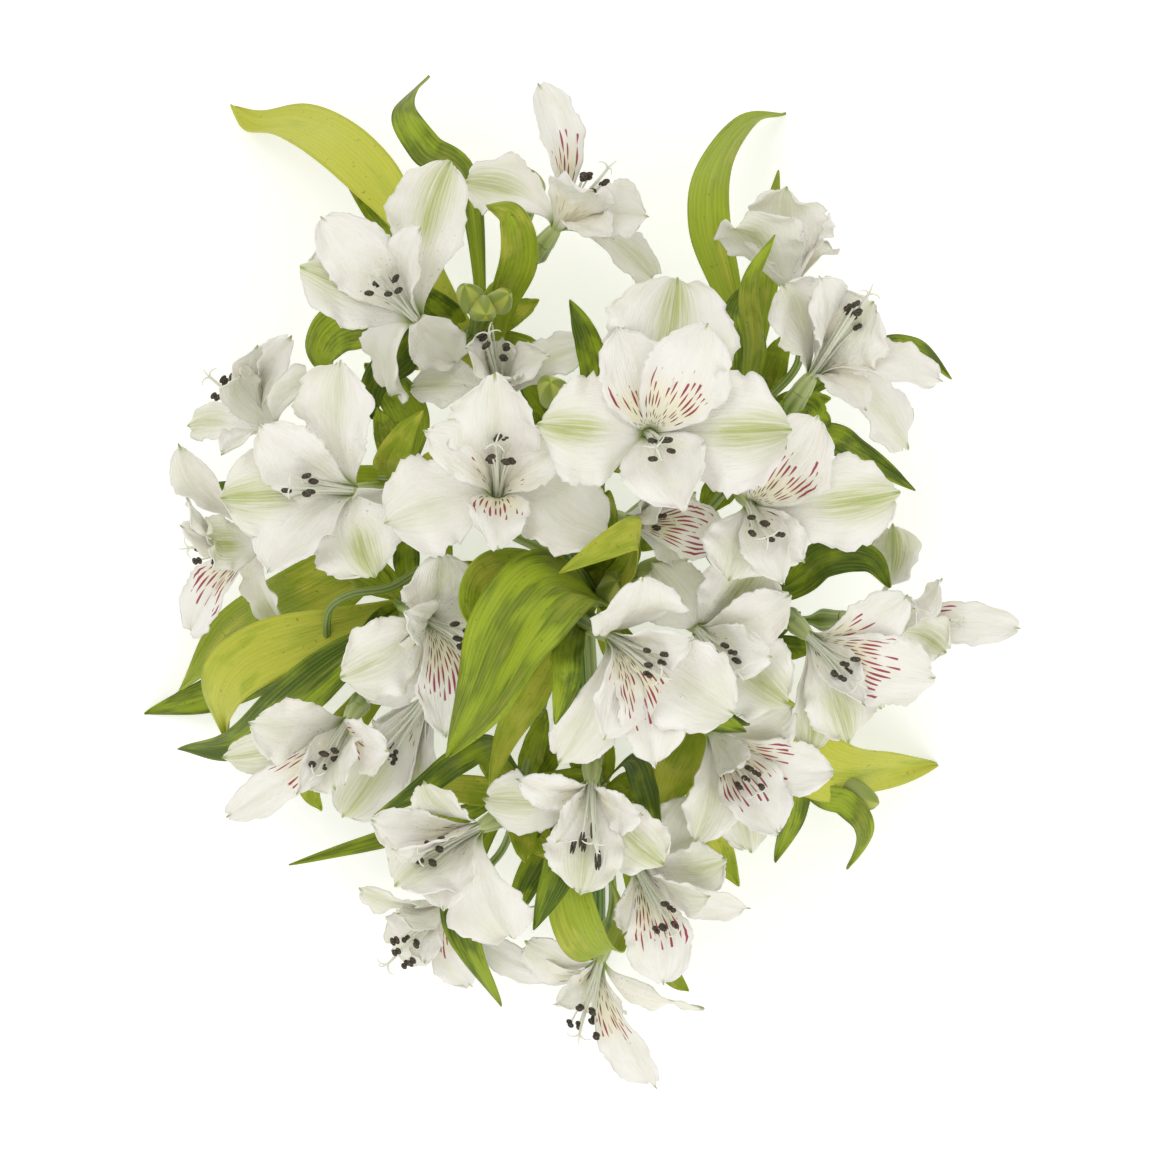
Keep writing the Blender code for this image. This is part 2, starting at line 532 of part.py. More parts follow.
def ray_point(root, fork, s):
    """The middle of a ray at share s of its way from the stem to its fork."""
    reach = fork - root
    up = Vector((0, 0, reach.length))
    return bezier(root, root + up * 0.25, fork - reach * 0.3 - up * 0.1, fork, s)


def make_ray(name, root, fork, material, scratch, nodes):
    """One ray of the umbel with its flower stalks, leaves and buds."""
    foot = Vector((0, 0, RAY_FOOT))
    points = [root] + [ray_point(root + foot, fork, i / 5) for i in range(6)]
    base = tube(name + "_ray", points, [RAY_RADIUS] * 6 + [RAY_RADIUS * 1.3], scratch)
    others = [knuckle(name + "_fork", fork, scratch)]
    for bloom, data in BLOOMS.items():
        if data["ray"] == name:
            axis = heading(*data["faces"])
            seat = place(*data["throat"]) - axis * (TUBE_DEPTH + SEAT_GAP)
            bends = [place(*p) for p in STALK_BENDS.get(bloom, [])]
            others.append(make_stalk(bloom + "_stalk", fork, seat, axis, bends, scratch))
    carried = [leaf for leaf, data in LEAVES.items() if data[0] == name]
    for number, leaf in enumerate(carried):
        _, places, width = LEAVES[leaf]
        start = ray_point(root + foot, fork, LEAF_START - LEAF_STEP * number)
        others.append(make_leaf(leaf, [start] + [place(*p) for p in places], width, scratch))
    for bud, (ray, centre, faces, length, radius) in BUDS.items():
        if ray == name:
            others.append(make_bud(bud, fork, place(*centre), heading(*faces), length, radius, scratch))
    return fuse(name, base, others, material, nodes)


def make_stem(material, scratch, nodes):
    """The main stem, cut square at its end and swollen where the rays start."""
    points = [through([place(*p) for p in STEM_PATH], i / 12) for i in range(13)]
    radii = [STEM_RADIUS] * 13
    stem = tube("main_stem_path", points, radii, scratch)
    top = place(*UMBEL_CENTRE)
    swell = cone("swell", top - Vector((0, 0, 5)), top, STEM_RADIUS, STEM_SWELL, 10, scratch)
    return fuse("main_stem", stem, [swell], material, nodes)


def main():
    for thing in list(bpy.data.objects):
        bpy.data.objects.remove(thing)
    nodes = bpy.data.collections.new("alstroemeria_stem")
    scratch = bpy.data.collections.new("scratch")
    bpy.context.scene.collection.children.link(nodes)
    bpy.context.scene.collection.children.link(scratch)

    petal = finish("white_petal", (0.86, 0.87, 0.82), 0.45)
    leaf = finish("green_leaf", (0.24, 0.40, 0.06), 0.42)
    stalk = finish("green_stalk", (0.16, 0.28, 0.06), 0.45)

    make_stem(stalk, scratch, nodes)
    for name, (fork, slot) in RAYS.items():
        root = place(*UMBEL_CENTRE) + Vector((0, 0, SEAT_GAP))
        if slot is not None:
            root += heading(slot, 0) * RAY_RING
        make_ray(name, root, place(*fork), leaf, scratch, nodes)
    for name, data in BLOOMS.items():
        make_bloom(name, data, petal, scratch, nodes)
    bpy.data.collections.remove(scratch)


main()
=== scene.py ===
"""The looks of a cut stem of white alstroemeria, laid down with its head of blooms facing up.

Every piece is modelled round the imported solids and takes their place. Lengths are in millimetres
in the tables and in metres in the meshes.
"""

import math
import random

import bpy
from mathutils import Matrix, Vector, noise


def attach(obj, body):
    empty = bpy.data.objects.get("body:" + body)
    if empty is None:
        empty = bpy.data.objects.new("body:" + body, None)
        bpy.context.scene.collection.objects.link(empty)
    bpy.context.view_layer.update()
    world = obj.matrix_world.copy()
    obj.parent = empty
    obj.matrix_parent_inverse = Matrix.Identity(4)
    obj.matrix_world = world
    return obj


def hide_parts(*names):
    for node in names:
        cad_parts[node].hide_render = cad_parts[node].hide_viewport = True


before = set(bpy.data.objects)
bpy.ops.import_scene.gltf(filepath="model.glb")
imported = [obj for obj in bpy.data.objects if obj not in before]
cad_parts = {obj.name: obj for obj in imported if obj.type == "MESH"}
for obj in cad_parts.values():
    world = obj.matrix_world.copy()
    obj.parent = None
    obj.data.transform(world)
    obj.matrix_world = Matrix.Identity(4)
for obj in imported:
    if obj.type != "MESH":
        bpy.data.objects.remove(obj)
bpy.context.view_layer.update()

# The view. The head was laid out as it is seen from straight above, from an eye at EYE_HEIGHT:
# a place is written as x, y, z, with x and y read in the plane at PLAN_HEIGHT, and a lower place
# spreads out with the sight line. The camera stands at that eye and takes in the same square.

MM = 0.001
EYE_HEIGHT = 1300.0
PLAN_HEIGHT = 100.0
PLAN_SIDE = 322.5
SHIFT = Vector((3.2, -1.0, 0.3))
SENSOR = 36.0


def place(x, y, z):
    """The point that is seen at x, y in the plan and lies at height z."""
    spread = (EYE_HEIGHT - z) / (EYE_HEIGHT - PLAN_HEIGHT)
    return Vector((x * spread, y * spread, z)) + SHIFT


def link(thing):
    """The thing, once it is in the scene."""
    bpy.context.scene.collection.objects.link(thing)
    return thing


lens = bpy.data.cameras.new("eye")
lens.sensor_width = SENSOR
lens.lens = SENSOR * (EYE_HEIGHT - PLAN_HEIGHT) / PLAN_SIDE
eye = link(bpy.data.objects.new("eye", lens))
eye.location = (Vector((0, 0, EYE_HEIGHT)) + SHIFT) * MM
bpy.context.scene.camera = eye
bpy.context.scene.view_settings.view_transform = "Standard"


# The surface the stem lies on: a wide pale sheet of paper on a light table, and soft lamps above it.
# Its skin is the first material. In a material's tree a value is written in sums and products, and
# any other node comes from one method.

FLOOR_SIDE = 6.0
FLOOR_WHITE = (0.93, 0.93, 0.92, 1.0)
FLOOR_GLOW = 0.3
SKY_WHITE = (1.0, 0.99, 0.96, 1.0)
SKY_STRENGTH = 0.78


class Shade:
    """A value in a material's tree. Sums and products of it add their Math nodes."""

    def __init__(self, tree, socket=None):
        self.tree = tree
        self.socket = socket

    def node(self, kind, settings=(), values=(), output=0):
        """Adds a node: first its settings, then the values or links of its sockets."""
        made = self.tree.nodes.new("ShaderNode" + kind)
        for name, value in dict(settings).items():
            setattr(made, name, value)
        for name, value in dict(values).items():
            if isinstance(value, Shade):
                self.tree.links.new(value.socket, made.inputs[name])
            else:
                made.inputs[name].default_value = value
        return Shade(self.tree, made.outputs[output])

    def math(self, operation, *values):
        """A Math node on these values."""
        return self.node("Math", {"operation": operation}, dict(enumerate(values)))

    def __add__(self, other):
        return self.math("ADD", self, other)

    def __radd__(self, other):
        return self.math("ADD", other, self)

    def __sub__(self, other):
        return self.math("SUBTRACT", self, other)

    def __rsub__(self, other):
        return self.math("SUBTRACT", other, self)

    def __mul__(self, other):
        return self.math("MULTIPLY", self, other)

    def __rmul__(self, other):
        return self.math("MULTIPLY", other, self)

    def __truediv__(self, other):
        return self.math("DIVIDE", self, other)

    def __pow__(self, other):
        return self.math("POWER", self, other)

    def __abs__(self):
        return self.math("ABSOLUTE", self)

    def rise(self, low, high):
        """Zero up to low, one from high on, and a smooth slope between them."""
        bounds = {"Value": self, "From Min": low, "From Max": high}
        return self.node("MapRange", {"interpolation_type": "SMOOTHSTEP"}, bounds)

    def tint(self, color, other, factor):
        """The first colour where the factor is zero, and the other where it is one."""
        both = [c if isinstance(c, Shade) else (*c, 1.0) for c in (color, other)]
        return self.node("Mix", {"data_type": "RGBA"}, {0: factor, 6: both[0], 7: both[1]}, output=2)

    def attribute(self, name):
        """The number that every point of the mesh carries under this name."""
        return self.node("Attribute", {"attribute_name": name}, output="Fac")

    def spot(self, x, y, z=0.0):
        """A place in a pattern, from a value for each of its axes."""
        return self.node("CombineXYZ", {}, {"X": x, "Y": y, "Z": z})

    def cloud(self, where, scale, detail=2.0):
        """Soft noise from 0 to 1, at a scale in repeats a unit."""
        return self.node("TexNoise", {}, {"Vector": where, "Scale": scale, "Detail": detail})

    def chance(self, where):
        """A number from 0 to 1 that is drawn anew for each place in a pattern."""
        return self.node("TexWhiteNoise", {"noise_dimensions": "2D"}, {"Vector": where})


def material(name):
    """An empty material and the start of its tree."""
    made = bpy.data.materials.new(name)
    made.use_nodes = True
    made.node_tree.nodes.remove(made.node_tree.nodes["Principled BSDF"])
    return made, Shade(made.node_tree)


def surface(made, tree, values):
    """Ends a material's tree in one Principled surface with these values."""
    skin = tree.node("BsdfPrincipled", {}, values)
    made.node_tree.links.new(skin.socket, made.node_tree.nodes["Material Output"].inputs["Surface"])


floor_mesh = bpy.data.meshes.new("floor")
corner = FLOOR_SIDE / 2
corners = [(-corner, -corner, 0), (corner, -corner, 0), (corner, corner, 0), (-corner, corner, 0)]
floor_mesh.from_pydata(corners, [], [(0, 1, 2, 3)])
floor = link(bpy.data.objects.new("floor", floor_mesh))
paper, tree = material("pale_paper")
surface(paper, tree, {"Base Color": FLOOR_WHITE, "Roughness": 0.8, "Specular IOR Level": 0.2,
                      "Emission Color": (1.0, 1.0, 1.0, 1.0), "Emission Strength": FLOOR_GLOW})
floor_mesh.materials.append(paper)

sky = bpy.data.worlds.new("studio")
sky.use_nodes = True
bpy.context.scene.world = sky
sky.node_tree.nodes["Background"].inputs["Color"].default_value = SKY_WHITE
sky.node_tree.nodes["Background"].inputs["Strength"].default_value = SKY_STRENGTH

# Each lamp: where it hangs and the side of its square in metres, and its power in watts.
LAMPS = {"key": ((-0.55, 0.75, 1.5), 0.9, 5.0), "fill": ((0.45, -1.0, 1.1), 1.2, 5.5)}
for name, (where, side, power) in LAMPS.items():
    lamp = bpy.data.lights.new(name, "AREA")
    lamp.energy = power
    lamp.size = side
    hung = link(bpy.data.objects.new(name, lamp))
    hung.location = where
    hung.rotation_euler = Vector(where).to_track_quat("Z", "Y").to_euler()


# The main stem: one round green stem with fine ridges, cut square at its end, lying on the surface
# under the head and curving up into the swollen end where the rays of the umbel start. It, the rays
# and the flower stalks are all grown along their paths by one Geometry Nodes tree.

STEM_RADIUS = 3.0
STEM_SWELL = 8.8
SWELL_HEIGHT = 5.0
STEM_PATH = [(4, -110, 3.2), (4, -84, 3.2), (3, -58, 3.2), (1, -34, 4), (0, -14, 9), (0, 0, 22), (0, 5, 40)]
UMBEL_CENTRE = (0, 5, 42)
STEM_STEPS = 60
STEM_SIDES = 72
STEM_RIBS = 12.0
STEM_RIB_DEPTH = 0.035
SWELL_STEPS = (0.3, 0.6, 0.85, 1.0)


def bezier(a, b, c, d, s):
    """A point on the cubic curve with the control points a, b, c and d."""
    r = 1 - s
    return a * r**3 + b * 3 * r * r * s + c * 3 * r * s * s + d * s**3


def through(points, s):
    """A point at share s of a smooth curve that passes all the points."""
    last = len(points) - 1
    i = min(int(s * last), last - 1)
    u = s * last - i
    a, b = points[i], points[i + 1]
    before = points[i - 1] if i else a * 2 - b
    after = points[i + 2] if i + 2 <= last else b * 2 - a
    return bezier(a, a + (b - before) / 6, b - (after - a) / 6, b, u)


def smooth(low, high, value):
    """Zero below low, one above high, and an easy slope between them."""
    u = min(max((value - low) / (high - low), 0.0), 1.0)
    return u * u * (3 - 2 * u)


def growth(name, sizes):
    """A Geometry Nodes tree with named inputs, its input sockets, and a maker of its nodes."""
    tree = bpy.data.node_groups.new(name, "GeometryNodeTree")
    tree.interface.new_socket("Geometry", in_out="INPUT", socket_type="NodeSocketGeometry")
    for size, kind in sizes.items():
        tree.interface.new_socket(size, in_out="INPUT", socket_type="NodeSocket" + kind)
    tree.interface.new_socket("Geometry", in_out="OUTPUT", socket_type="NodeSocketGeometry")

    def node(kind, settings=(), values=(), output=0):
        """Adds a node: first its settings, then the values or links of its sockets."""
        made = tree.nodes.new(kind)
        for key, value in dict(settings).items():
            setattr(made, key, value)
        for key, value in dict(values).items():
            if isinstance(value, bpy.types.NodeSocket):
                tree.links.new(value, made.inputs[key])
            else:
                made.inputs[key].default_value = value
        return made.outputs[output] if made.outputs else made

    return tree, tree.nodes.new("NodeGroupInput").outputs, node


def paths_mesh(name, paths, values):
    """A mesh of bare lines, one for each path, with a number of every kind at every point."""
    mesh = bpy.data.meshes.new(name)
    points = [point * MM for path in paths for point in path]
    edges = []
    first = 0
    for path in paths:
        edges += [(first + i, first + i + 1) for i in range(len(path) - 1)]
        first += len(path)
    mesh.from_pydata(points, edges, [])
    for key, rows in values.items():
        numbers = [number for row in rows for number in row]
        mesh.attributes.new(key, "FLOAT", "POINT").data.foreach_set("value", numbers)
    return mesh


def stalk_lines(name, rows):
    """A mesh of lines from rows that each hold a line's points, thicknesses and paleness."""
    points, thick, pale = zip(*rows)
    return paths_mesh(name, points, {"thick": thick, "pale": pale})


def grown(name, mesh, tree, sizes):
    """The plain mesh object that a tree grows from a mesh of lines."""
    seed = link(bpy.data.objects.new(name + "_lines", mesh))
    grow = seed.modifiers.new("grow", "NODES")
    grow.node_group = tree
    for item in tree.interface.items_tree:
        if item.in_out == "INPUT" and item.name in sizes:
            grow[item.identifier] = sizes[item.name]
    bpy.context.view_layer.update()
    evaluated = seed.evaluated_get(bpy.context.evaluated_depsgraph_get())
    plain = bpy.data.meshes.new_from_object(evaluated)
    bpy.data.objects.remove(seed)
    plain.name = name
    return link(bpy.data.objects.new(name, plain))


def sweep(node, sizes, profile):
    """The nodes that turn a mesh of lines into curves and sweep a profile along them."""
    lines = node("GeometryNodeMeshToCurve", {}, {0: sizes["Geometry"]})
    thick = node("GeometryNodeInputNamedAttribute", {}, {"Name": "thick"})
    swept = node("GeometryNodeCurveToMesh", {},
                 {"Curve": lines, "Profile Curve": profile, "Scale": thick, "Fill Caps": True})
    return lines, node("GeometryNodeSetShadeSmooth", {}, {"Geometry": swept})


# A ribbed stalk: a circle with its ribs, swept along each line at the line's own thickness.
stalk_tree, sizes, node = growth(
    "ribbed_stalk", {"Sides": "Int", "Ribs": "Float", "Rib Depth": "Float", "Material": "Material"}
)
around = node("GeometryNodeSplineParameter")
turn = node("ShaderNodeMath", {"operation": "MULTIPLY"}, {0: around, 1: 2 * math.pi})
turns = node("ShaderNodeMath", {"operation": "MULTIPLY"}, {0: turn, 1: sizes["Ribs"]})
rib = node("ShaderNodeMath", {"operation": "COSINE"}, {0: turns})
deep = node("ShaderNodeMath", {"operation": "MULTIPLY"}, {0: rib, 1: sizes["Rib Depth"]})
spot = node("GeometryNodeInputPosition")
push = node("ShaderNodeVectorMath", {"operation": "SCALE"}, {"Vector": spot, "Scale": deep})
ring = node("GeometryNodeCurvePrimitiveCircle", {}, {"Resolution": sizes["Sides"], "Radius": MM})
ribbed = node("GeometryNodeSetPosition", {}, {"Geometry": ring, "Offset": push})
marked = node("GeometryNodeStoreNamedAttribute", {}, {"Geometry": ribbed, "Name": "rib", "Value": rib})
_, soft = sweep(node, sizes, marked)
real = node("GeometryNodeRealizeInstances", {}, {"Geometry": soft})
done = node("GeometryNodeSetMaterial", {}, {"Geometry": real, "Material": sizes["Material"]})
node("NodeGroupOutput", {}, {"Geometry": done})


def green_skin(name, light, dark, gloss):
    """A ribbed green skin whose grooves take the second colour, and paler where it is cut or young."""
    made, tree = material(name)
    where = tree.node("TexCoord", output="Object")
    patches = tree.cloud(where, 240.0, 3.0)
    # The grooves between the ribs take the second colour, blended with soft patches. Where that colour is
    # the darker green, as on the stem, stalks and tubes, it is painted shade in the grooves; the paler
    # folds of the buds are their own colour.
    rib = tree.attribute("rib").rise(-1.0, 0.6)
    shade = tree.tint(dark, light, (rib * 0.7 + patches * 0.6).rise(0.25, 1.0))
    pale = tree.tint(shade, YOUNG_GREEN, tree.attribute("pale"))
    fine = tree.cloud(where, 2600.0)
    bump = tree.node("Bump", {}, {"Height": fine, "Strength": 0.25, "Distance": 0.0002})
    surface(made, tree, {"Base Color": pale, "Roughness": gloss, "Normal": bump})
    return made


# The stem's dark green is painted shade in the grooves between its ribs.
STEM_LIGHT = (0.16, 0.27, 0.05)
STEM_GROOVE_SHADE = (0.06, 0.13, 0.02)
YOUNG_GREEN = (0.62, 0.66, 0.34)
stem_skin = green_skin("stem_skin", STEM_LIGHT, STEM_GROOVE_SHADE, 0.42)
top = place(*UMBEL_CENTRE)
knots = [place(*p) for p in STEM_PATH]
middle = [through(knots, i / STEM_STEPS) for i in range(STEM_STEPS + 1)]
middle += [middle[-1].lerp(top, share) for share in SWELL_STEPS]
swells = [smooth(top.z - SWELL_HEIGHT, top.z, point.z) for point in middle]
thick = [STEM_RADIUS + (STEM_SWELL - STEM_RADIUS) * swell for swell in swells]
pale = [1.0] + [0.15 * swell for swell in swells[1:]]
stem = grown("stem_main", stalk_lines("stem_line", [(middle, thick, pale)]), stalk_tree,
             {"Sides": STEM_SIDES, "Ribs": STEM_RIBS, "Rib Depth": STEM_RIB_DEPTH, "Material": stem_skin})
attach(stem, "root")
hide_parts("main_stem")


# The ten rays of the umbel, each forking into thin flower stalks. A stalk ends in the ribbed green
# ovary that carries its bloom, or in a closed bud. All of a ray's stalks are grown as one piece.

RAY_RADIUS = 1.6
RAY_RING = 6.6
RAY_FOOT = 2.0
RAY_STEPS = 22
RAY_PALE = 0.25
KNUCKLE_SWELL = 1.0
STALK_RADIUS = 1.1
STALK_STEPS = 18
BENT_STALK_STEPS = 40
STALK_PALE = 0.1
OVARY_RADIUS = 3.1
OVARY_LENGTH = 10.0
OVARY_STEPS = 12
TUBE_DEPTH = 8.0
SEAT_GAP = 0.3

# How the knuckle at a fork closes: how far past the fork, and how thick it is there.
KNUCKLE_END = [(1.2, 2.4), (2.2, 1.8), (2.8, 0.6)]

# A ray: where it forks, and where on the ring round the swollen end it starts, in degrees. The
# last ray starts in the middle of the ring.
RAYS = {
    1: ((-30, 68, 60), 128),
    2: ((-6, 42, 64), 90),
    3: ((50, 48, 60), 50),
    4: ((33, 17, 70), 10),
    5: ((-50, 28, 62), 165),
    6: ((-48, -6, 62), 202),
    7: ((-17, -60, 48), 243),
    8: ((5, -60, 50), 285),
    9: ((44, -19, 58), 328),
    10: ((5, -5, 72), None),
}

# Flower stalks that bend on their way, with the places they pass.
STALK_BENDS = {11: [(-44, 3, 70), (-53, -2, 76), (-64, -4, 76), (-70, -9, 70), (-69, -20, 60)]}

# A bloom: the ray that carries it, where its throat is, and where it faces, in degrees.
SEATS = {
    1: (1, (-46, 73, 92), (135, 55)),
    2: (1, (-6, 99, 78), (50, 42)),
    3: (3, (58, 82, 72), (100, 12)),
    4: (3, (65, 58, 84), (57, 42)),
    5: (2, (19, 41, 126), (-50, 80)),
    6: (2, (-23, 24, 108), (85, 62)),
    7: (5, (-64, 25, 98), (176, 58)),
    8: (5, (-86, 42, 66), (140, 35)),
    9: (5, (-88, 10, 62), (187, 38)),
    10: (6, (-42, -11, 90), (-25, 58)),
    11: (6, (-65, -40, 74), (240, 58)),
    12: (6, (-43, -33, 76), (235, -15)),
    13: (7, (-29, -69, 86), (203, 50)),
    14: (7, (-36, -90, 40), (225, 20)),
    15: (10, (9, -16, 118), (-32, 52)),
    16: (9, (33, -14, 92), (-50, 60)),
    17: (4, (47, 21, 110), (-70, 70)),
    18: (10, (14, 17, 98), (-5, 20)),
    19: (9, (64, -16, 84), (-45, 52)),
    20: (9, (80, -11, 62), (0, 18)),
    21: (9, (37, -43, 76), (-50, 42)),
    22: (8, (3, -57, 94), (-92, 55)),
    23: (8, (16, -80, 70), (-60, 42)),
    24: (8, (5, -107, 46), (255, 42)),
    25: (2, (-22, 51, 76), (100, 48)),
}

BUD_STALK_STEPS = 10
BUD_STEPS = 20
BUD_PALE = 0.2

# A bud: its ray, where its middle is, where it points, its length and its radius.
BUDS = [
    (1, (-31, 79, 90), (110, 60), 11, 4.0),
    (1, (-27, 75, 92), (-60, 70), 10, 3.8),
    (1, (-22, 78, 88), (30, 60), 10, 3.8),
    (1, (-14, 110, 54), (100, 30), 10, 4.0),
    (2, (-8, 53, 94), (100, 75), 14, 4.6),
    (10, (9, -2, 94), (60, 70), 12, 4.6),
    (10, (21, 3, 82), (20, 40), 12, 4.4),
    (9, (75, -59, 26), (-20, 5), 18, 6.0),
]


def heading(azimuth, elevation):
    """The unit vector that points along an azimuth and an elevation, in degrees."""
    a = math.radians(azimuth)
    e = math.radians(elevation)
    return Vector((math.cos(a) * math.cos(e), math.sin(a) * math.cos(e), math.sin(e)))


def ray_point(root, fork, s):
    """The middle of a ray at share s of its way from the stem to its fork."""
    reach = fork - root
    up = Vector((0, 0, reach.length))
    return bezier(root, root + up * 0.25, fork - reach * 0.3 - up * 0.1, fork, s)


def ray_ends(number):
    """Where a ray starts on the swollen end of the stem, and where it forks."""
    fork, slot = RAYS[number]
    root = place(*UMBEL_CENTRE) + Vector((0, 0, SEAT_GAP))
    if slot is not None:
        root += heading(slot, 0) * RAY_RING
    return root, place(*fork)


def ray_line(number):
    """The line, thickness and paleness of a ray, with the knuckle where it forks."""
    root, fork = ray_ends(number)
    foot = root + Vector((0, 0, RAY_FOOT))
    shares = [i / RAY_STEPS for i in range(RAY_STEPS + 1)]
    points = [root] + [ray_point(foot, fork, s) for s in shares]
    thick = [RAY_RADIUS] + [RAY_RADIUS + KNUCKLE_SWELL * smooth(0.86, 1.0, s) for s in shares]
    beyond = (points[-1] - points[-2]).normalized()
    for reach, radius in KNUCKLE_END:
        points.append(fork + beyond * reach)
        thick.append(radius)
    return points, thick, [RAY_PALE] * len(points)


def seated(number):
    """Where the throat of a bloom is, and the unit vector along which the bloom faces."""
    _, throat, faces = SEATS[number]
    return place(*throat), heading(*faces)


def stalk_line(number, fork):
    """The line, thickness and paleness of a flower stalk with the ovary at its end."""
    throat, axis = seated(number)
    neck = throat - axis * (TUBE_DEPTH + SEAT_GAP + OVARY_LENGTH)
    if number in STALK_BENDS:
        route = [fork] + [place(*p) for p in STALK_BENDS[number]] + [neck]
        points = [through(route, i / BENT_STALK_STEPS) for i in range(BENT_STALK_STEPS + 1)]
    else:
        reach = (neck - fork).length
        first = fork + ((neck - fork).normalized() + Vector((0, 0, 0.5))) * reach * 0.3
        second = neck - axis * max(reach * 0.35, 6.0)
        points = [bezier(fork, first, second, neck, i / STALK_STEPS) for i in range(STALK_STEPS + 1)]
    thick = [STALK_RADIUS] * len(points)
    pale = [STALK_PALE] * len(points)
    for i in range(1, OVARY_STEPS + 1):
        share = i / OVARY_STEPS
        points.append(neck + axis * OVARY_LENGTH * share)
        swell = smooth(0.0, 0.5, share) * (1 - 0.25 * smooth(0.45, 1.0, share))
        thick.append(STALK_RADIUS + (OVARY_RADIUS - STALK_RADIUS) * swell)
        pale.append(STALK_PALE + 0.3 * smooth(0.5, 1.0, share))
    return points, thick, pale


def bud_line(fork, centre, faces, length, radius):
    """The lines, thicknesses and paleness of a bud's stalk and of the bud on it."""
    axis = heading(*faces)
    root = place(*centre) - axis * length / 2
    first = fork + (root - fork) * 0.4
    shares = [i / BUD_STALK_STEPS for i in range(BUD_STALK_STEPS + 1)]
    points = [bezier(fork, first, root - axis * 5.0, root, s) for s in shares]
    stalk = points, [STALK_RADIUS] * len(points), [BUD_PALE] * len(points)
    shares = [i / BUD_STEPS for i in range(BUD_STEPS + 1)]
    middle = [root + axis * length * s for s in shares]
    full = [(4 * s * (1 - s)) ** 0.55 * (1.15 - 0.55 * s) + 0.05 for s in shares]
    pale = [0.3 - 0.3 * smooth(0.3, 1.0, s) for s in shares]
    return stalk, (middle, [radius * part for part in full], pale)


# The stalks' dark green is painted shade in the grooves between their ribs.
STALK_LIGHT = (0.24, 0.34, 0.05)
STALK_GROOVE_SHADE = (0.09, 0.15, 0.02)
stalk_skin = green_skin("stalk_skin", STALK_LIGHT, STALK_GROOVE_SHADE, 0.38)
bud_rows = []
for number in RAYS:
    _, fork = ray_ends(number)
    rows = [ray_line(number)]
    rows += [stalk_line(bloom, fork) for bloom, seat in SEATS.items() if seat[0] == number]
    for ray, *bud in BUDS:
        if ray == number:
            stalk, body = bud_line(fork, *bud)
            rows.append(stalk)
            bud_rows.append(body)
    stalks = grown(f"stalks_{number}", stalk_lines(f"stalk_lines_{number}", rows), stalk_tree,
                   {"Sides": 30, "Ribs": 6.0, "Rib Depth": 0.09, "Material": stalk_skin})
    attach(stalks, "root")
    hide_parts(f"ray_{number}")


# The closed buds: three outer tepals folded over one another, yellow green with greener ridges.
# Each grows at the end of its own stalk, from the tree that grows the stalks, with three ribs.

BUD_RIDGE = (0.22, 0.29, 0.03)
BUD_FOLD = (0.45, 0.49, 0.07)
bud_skin = green_skin("bud_skin", BUD_RIDGE, BUD_FOLD, 0.45)
buds = grown("buds", stalk_lines("bud_lines", bud_rows), stalk_tree,
             {"Sides": 36, "Ribs": 3.0, "Rib Depth": 0.13, "Material": bud_skin})
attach(buds, "root")


# The leaves and bracts: soft green blades with parallel veins, a shallow channel and wavy edges,
# grown from the rays just under their forks. Each is bent along its own line to its tip.

# The share of its ray at which a first leaf starts, and how far below it each further one does.
LEAF_START = 0.96
LEAF_STEP = 0.045

LEAF_CHANNEL = 0.14
LEAF_ROWS = 44
LEAF_COLUMNS = 12
LEAF_THICKNESS = 0.35
BRACT_ROWS = 24
ROUND = 6.28

# How ragged a leaf's edge is, as a share of half its width, and its relief in shares of its width.
LEAF_RAGGED = 0.05
LEAF_WAVE = 0.07
LEAF_FOLD = 0.05
LEAF_PLEAT = 0.007
LEAF_DENT = 0.09

# The bracts round a fork: how far each turns from the side of its ray, and its rise, in degrees.
BRACTS = [(-60, 8), (60, 14), (175, 4), (110, 26), (-120, 22), (150, 12), (-155, 18), (20, 28)]

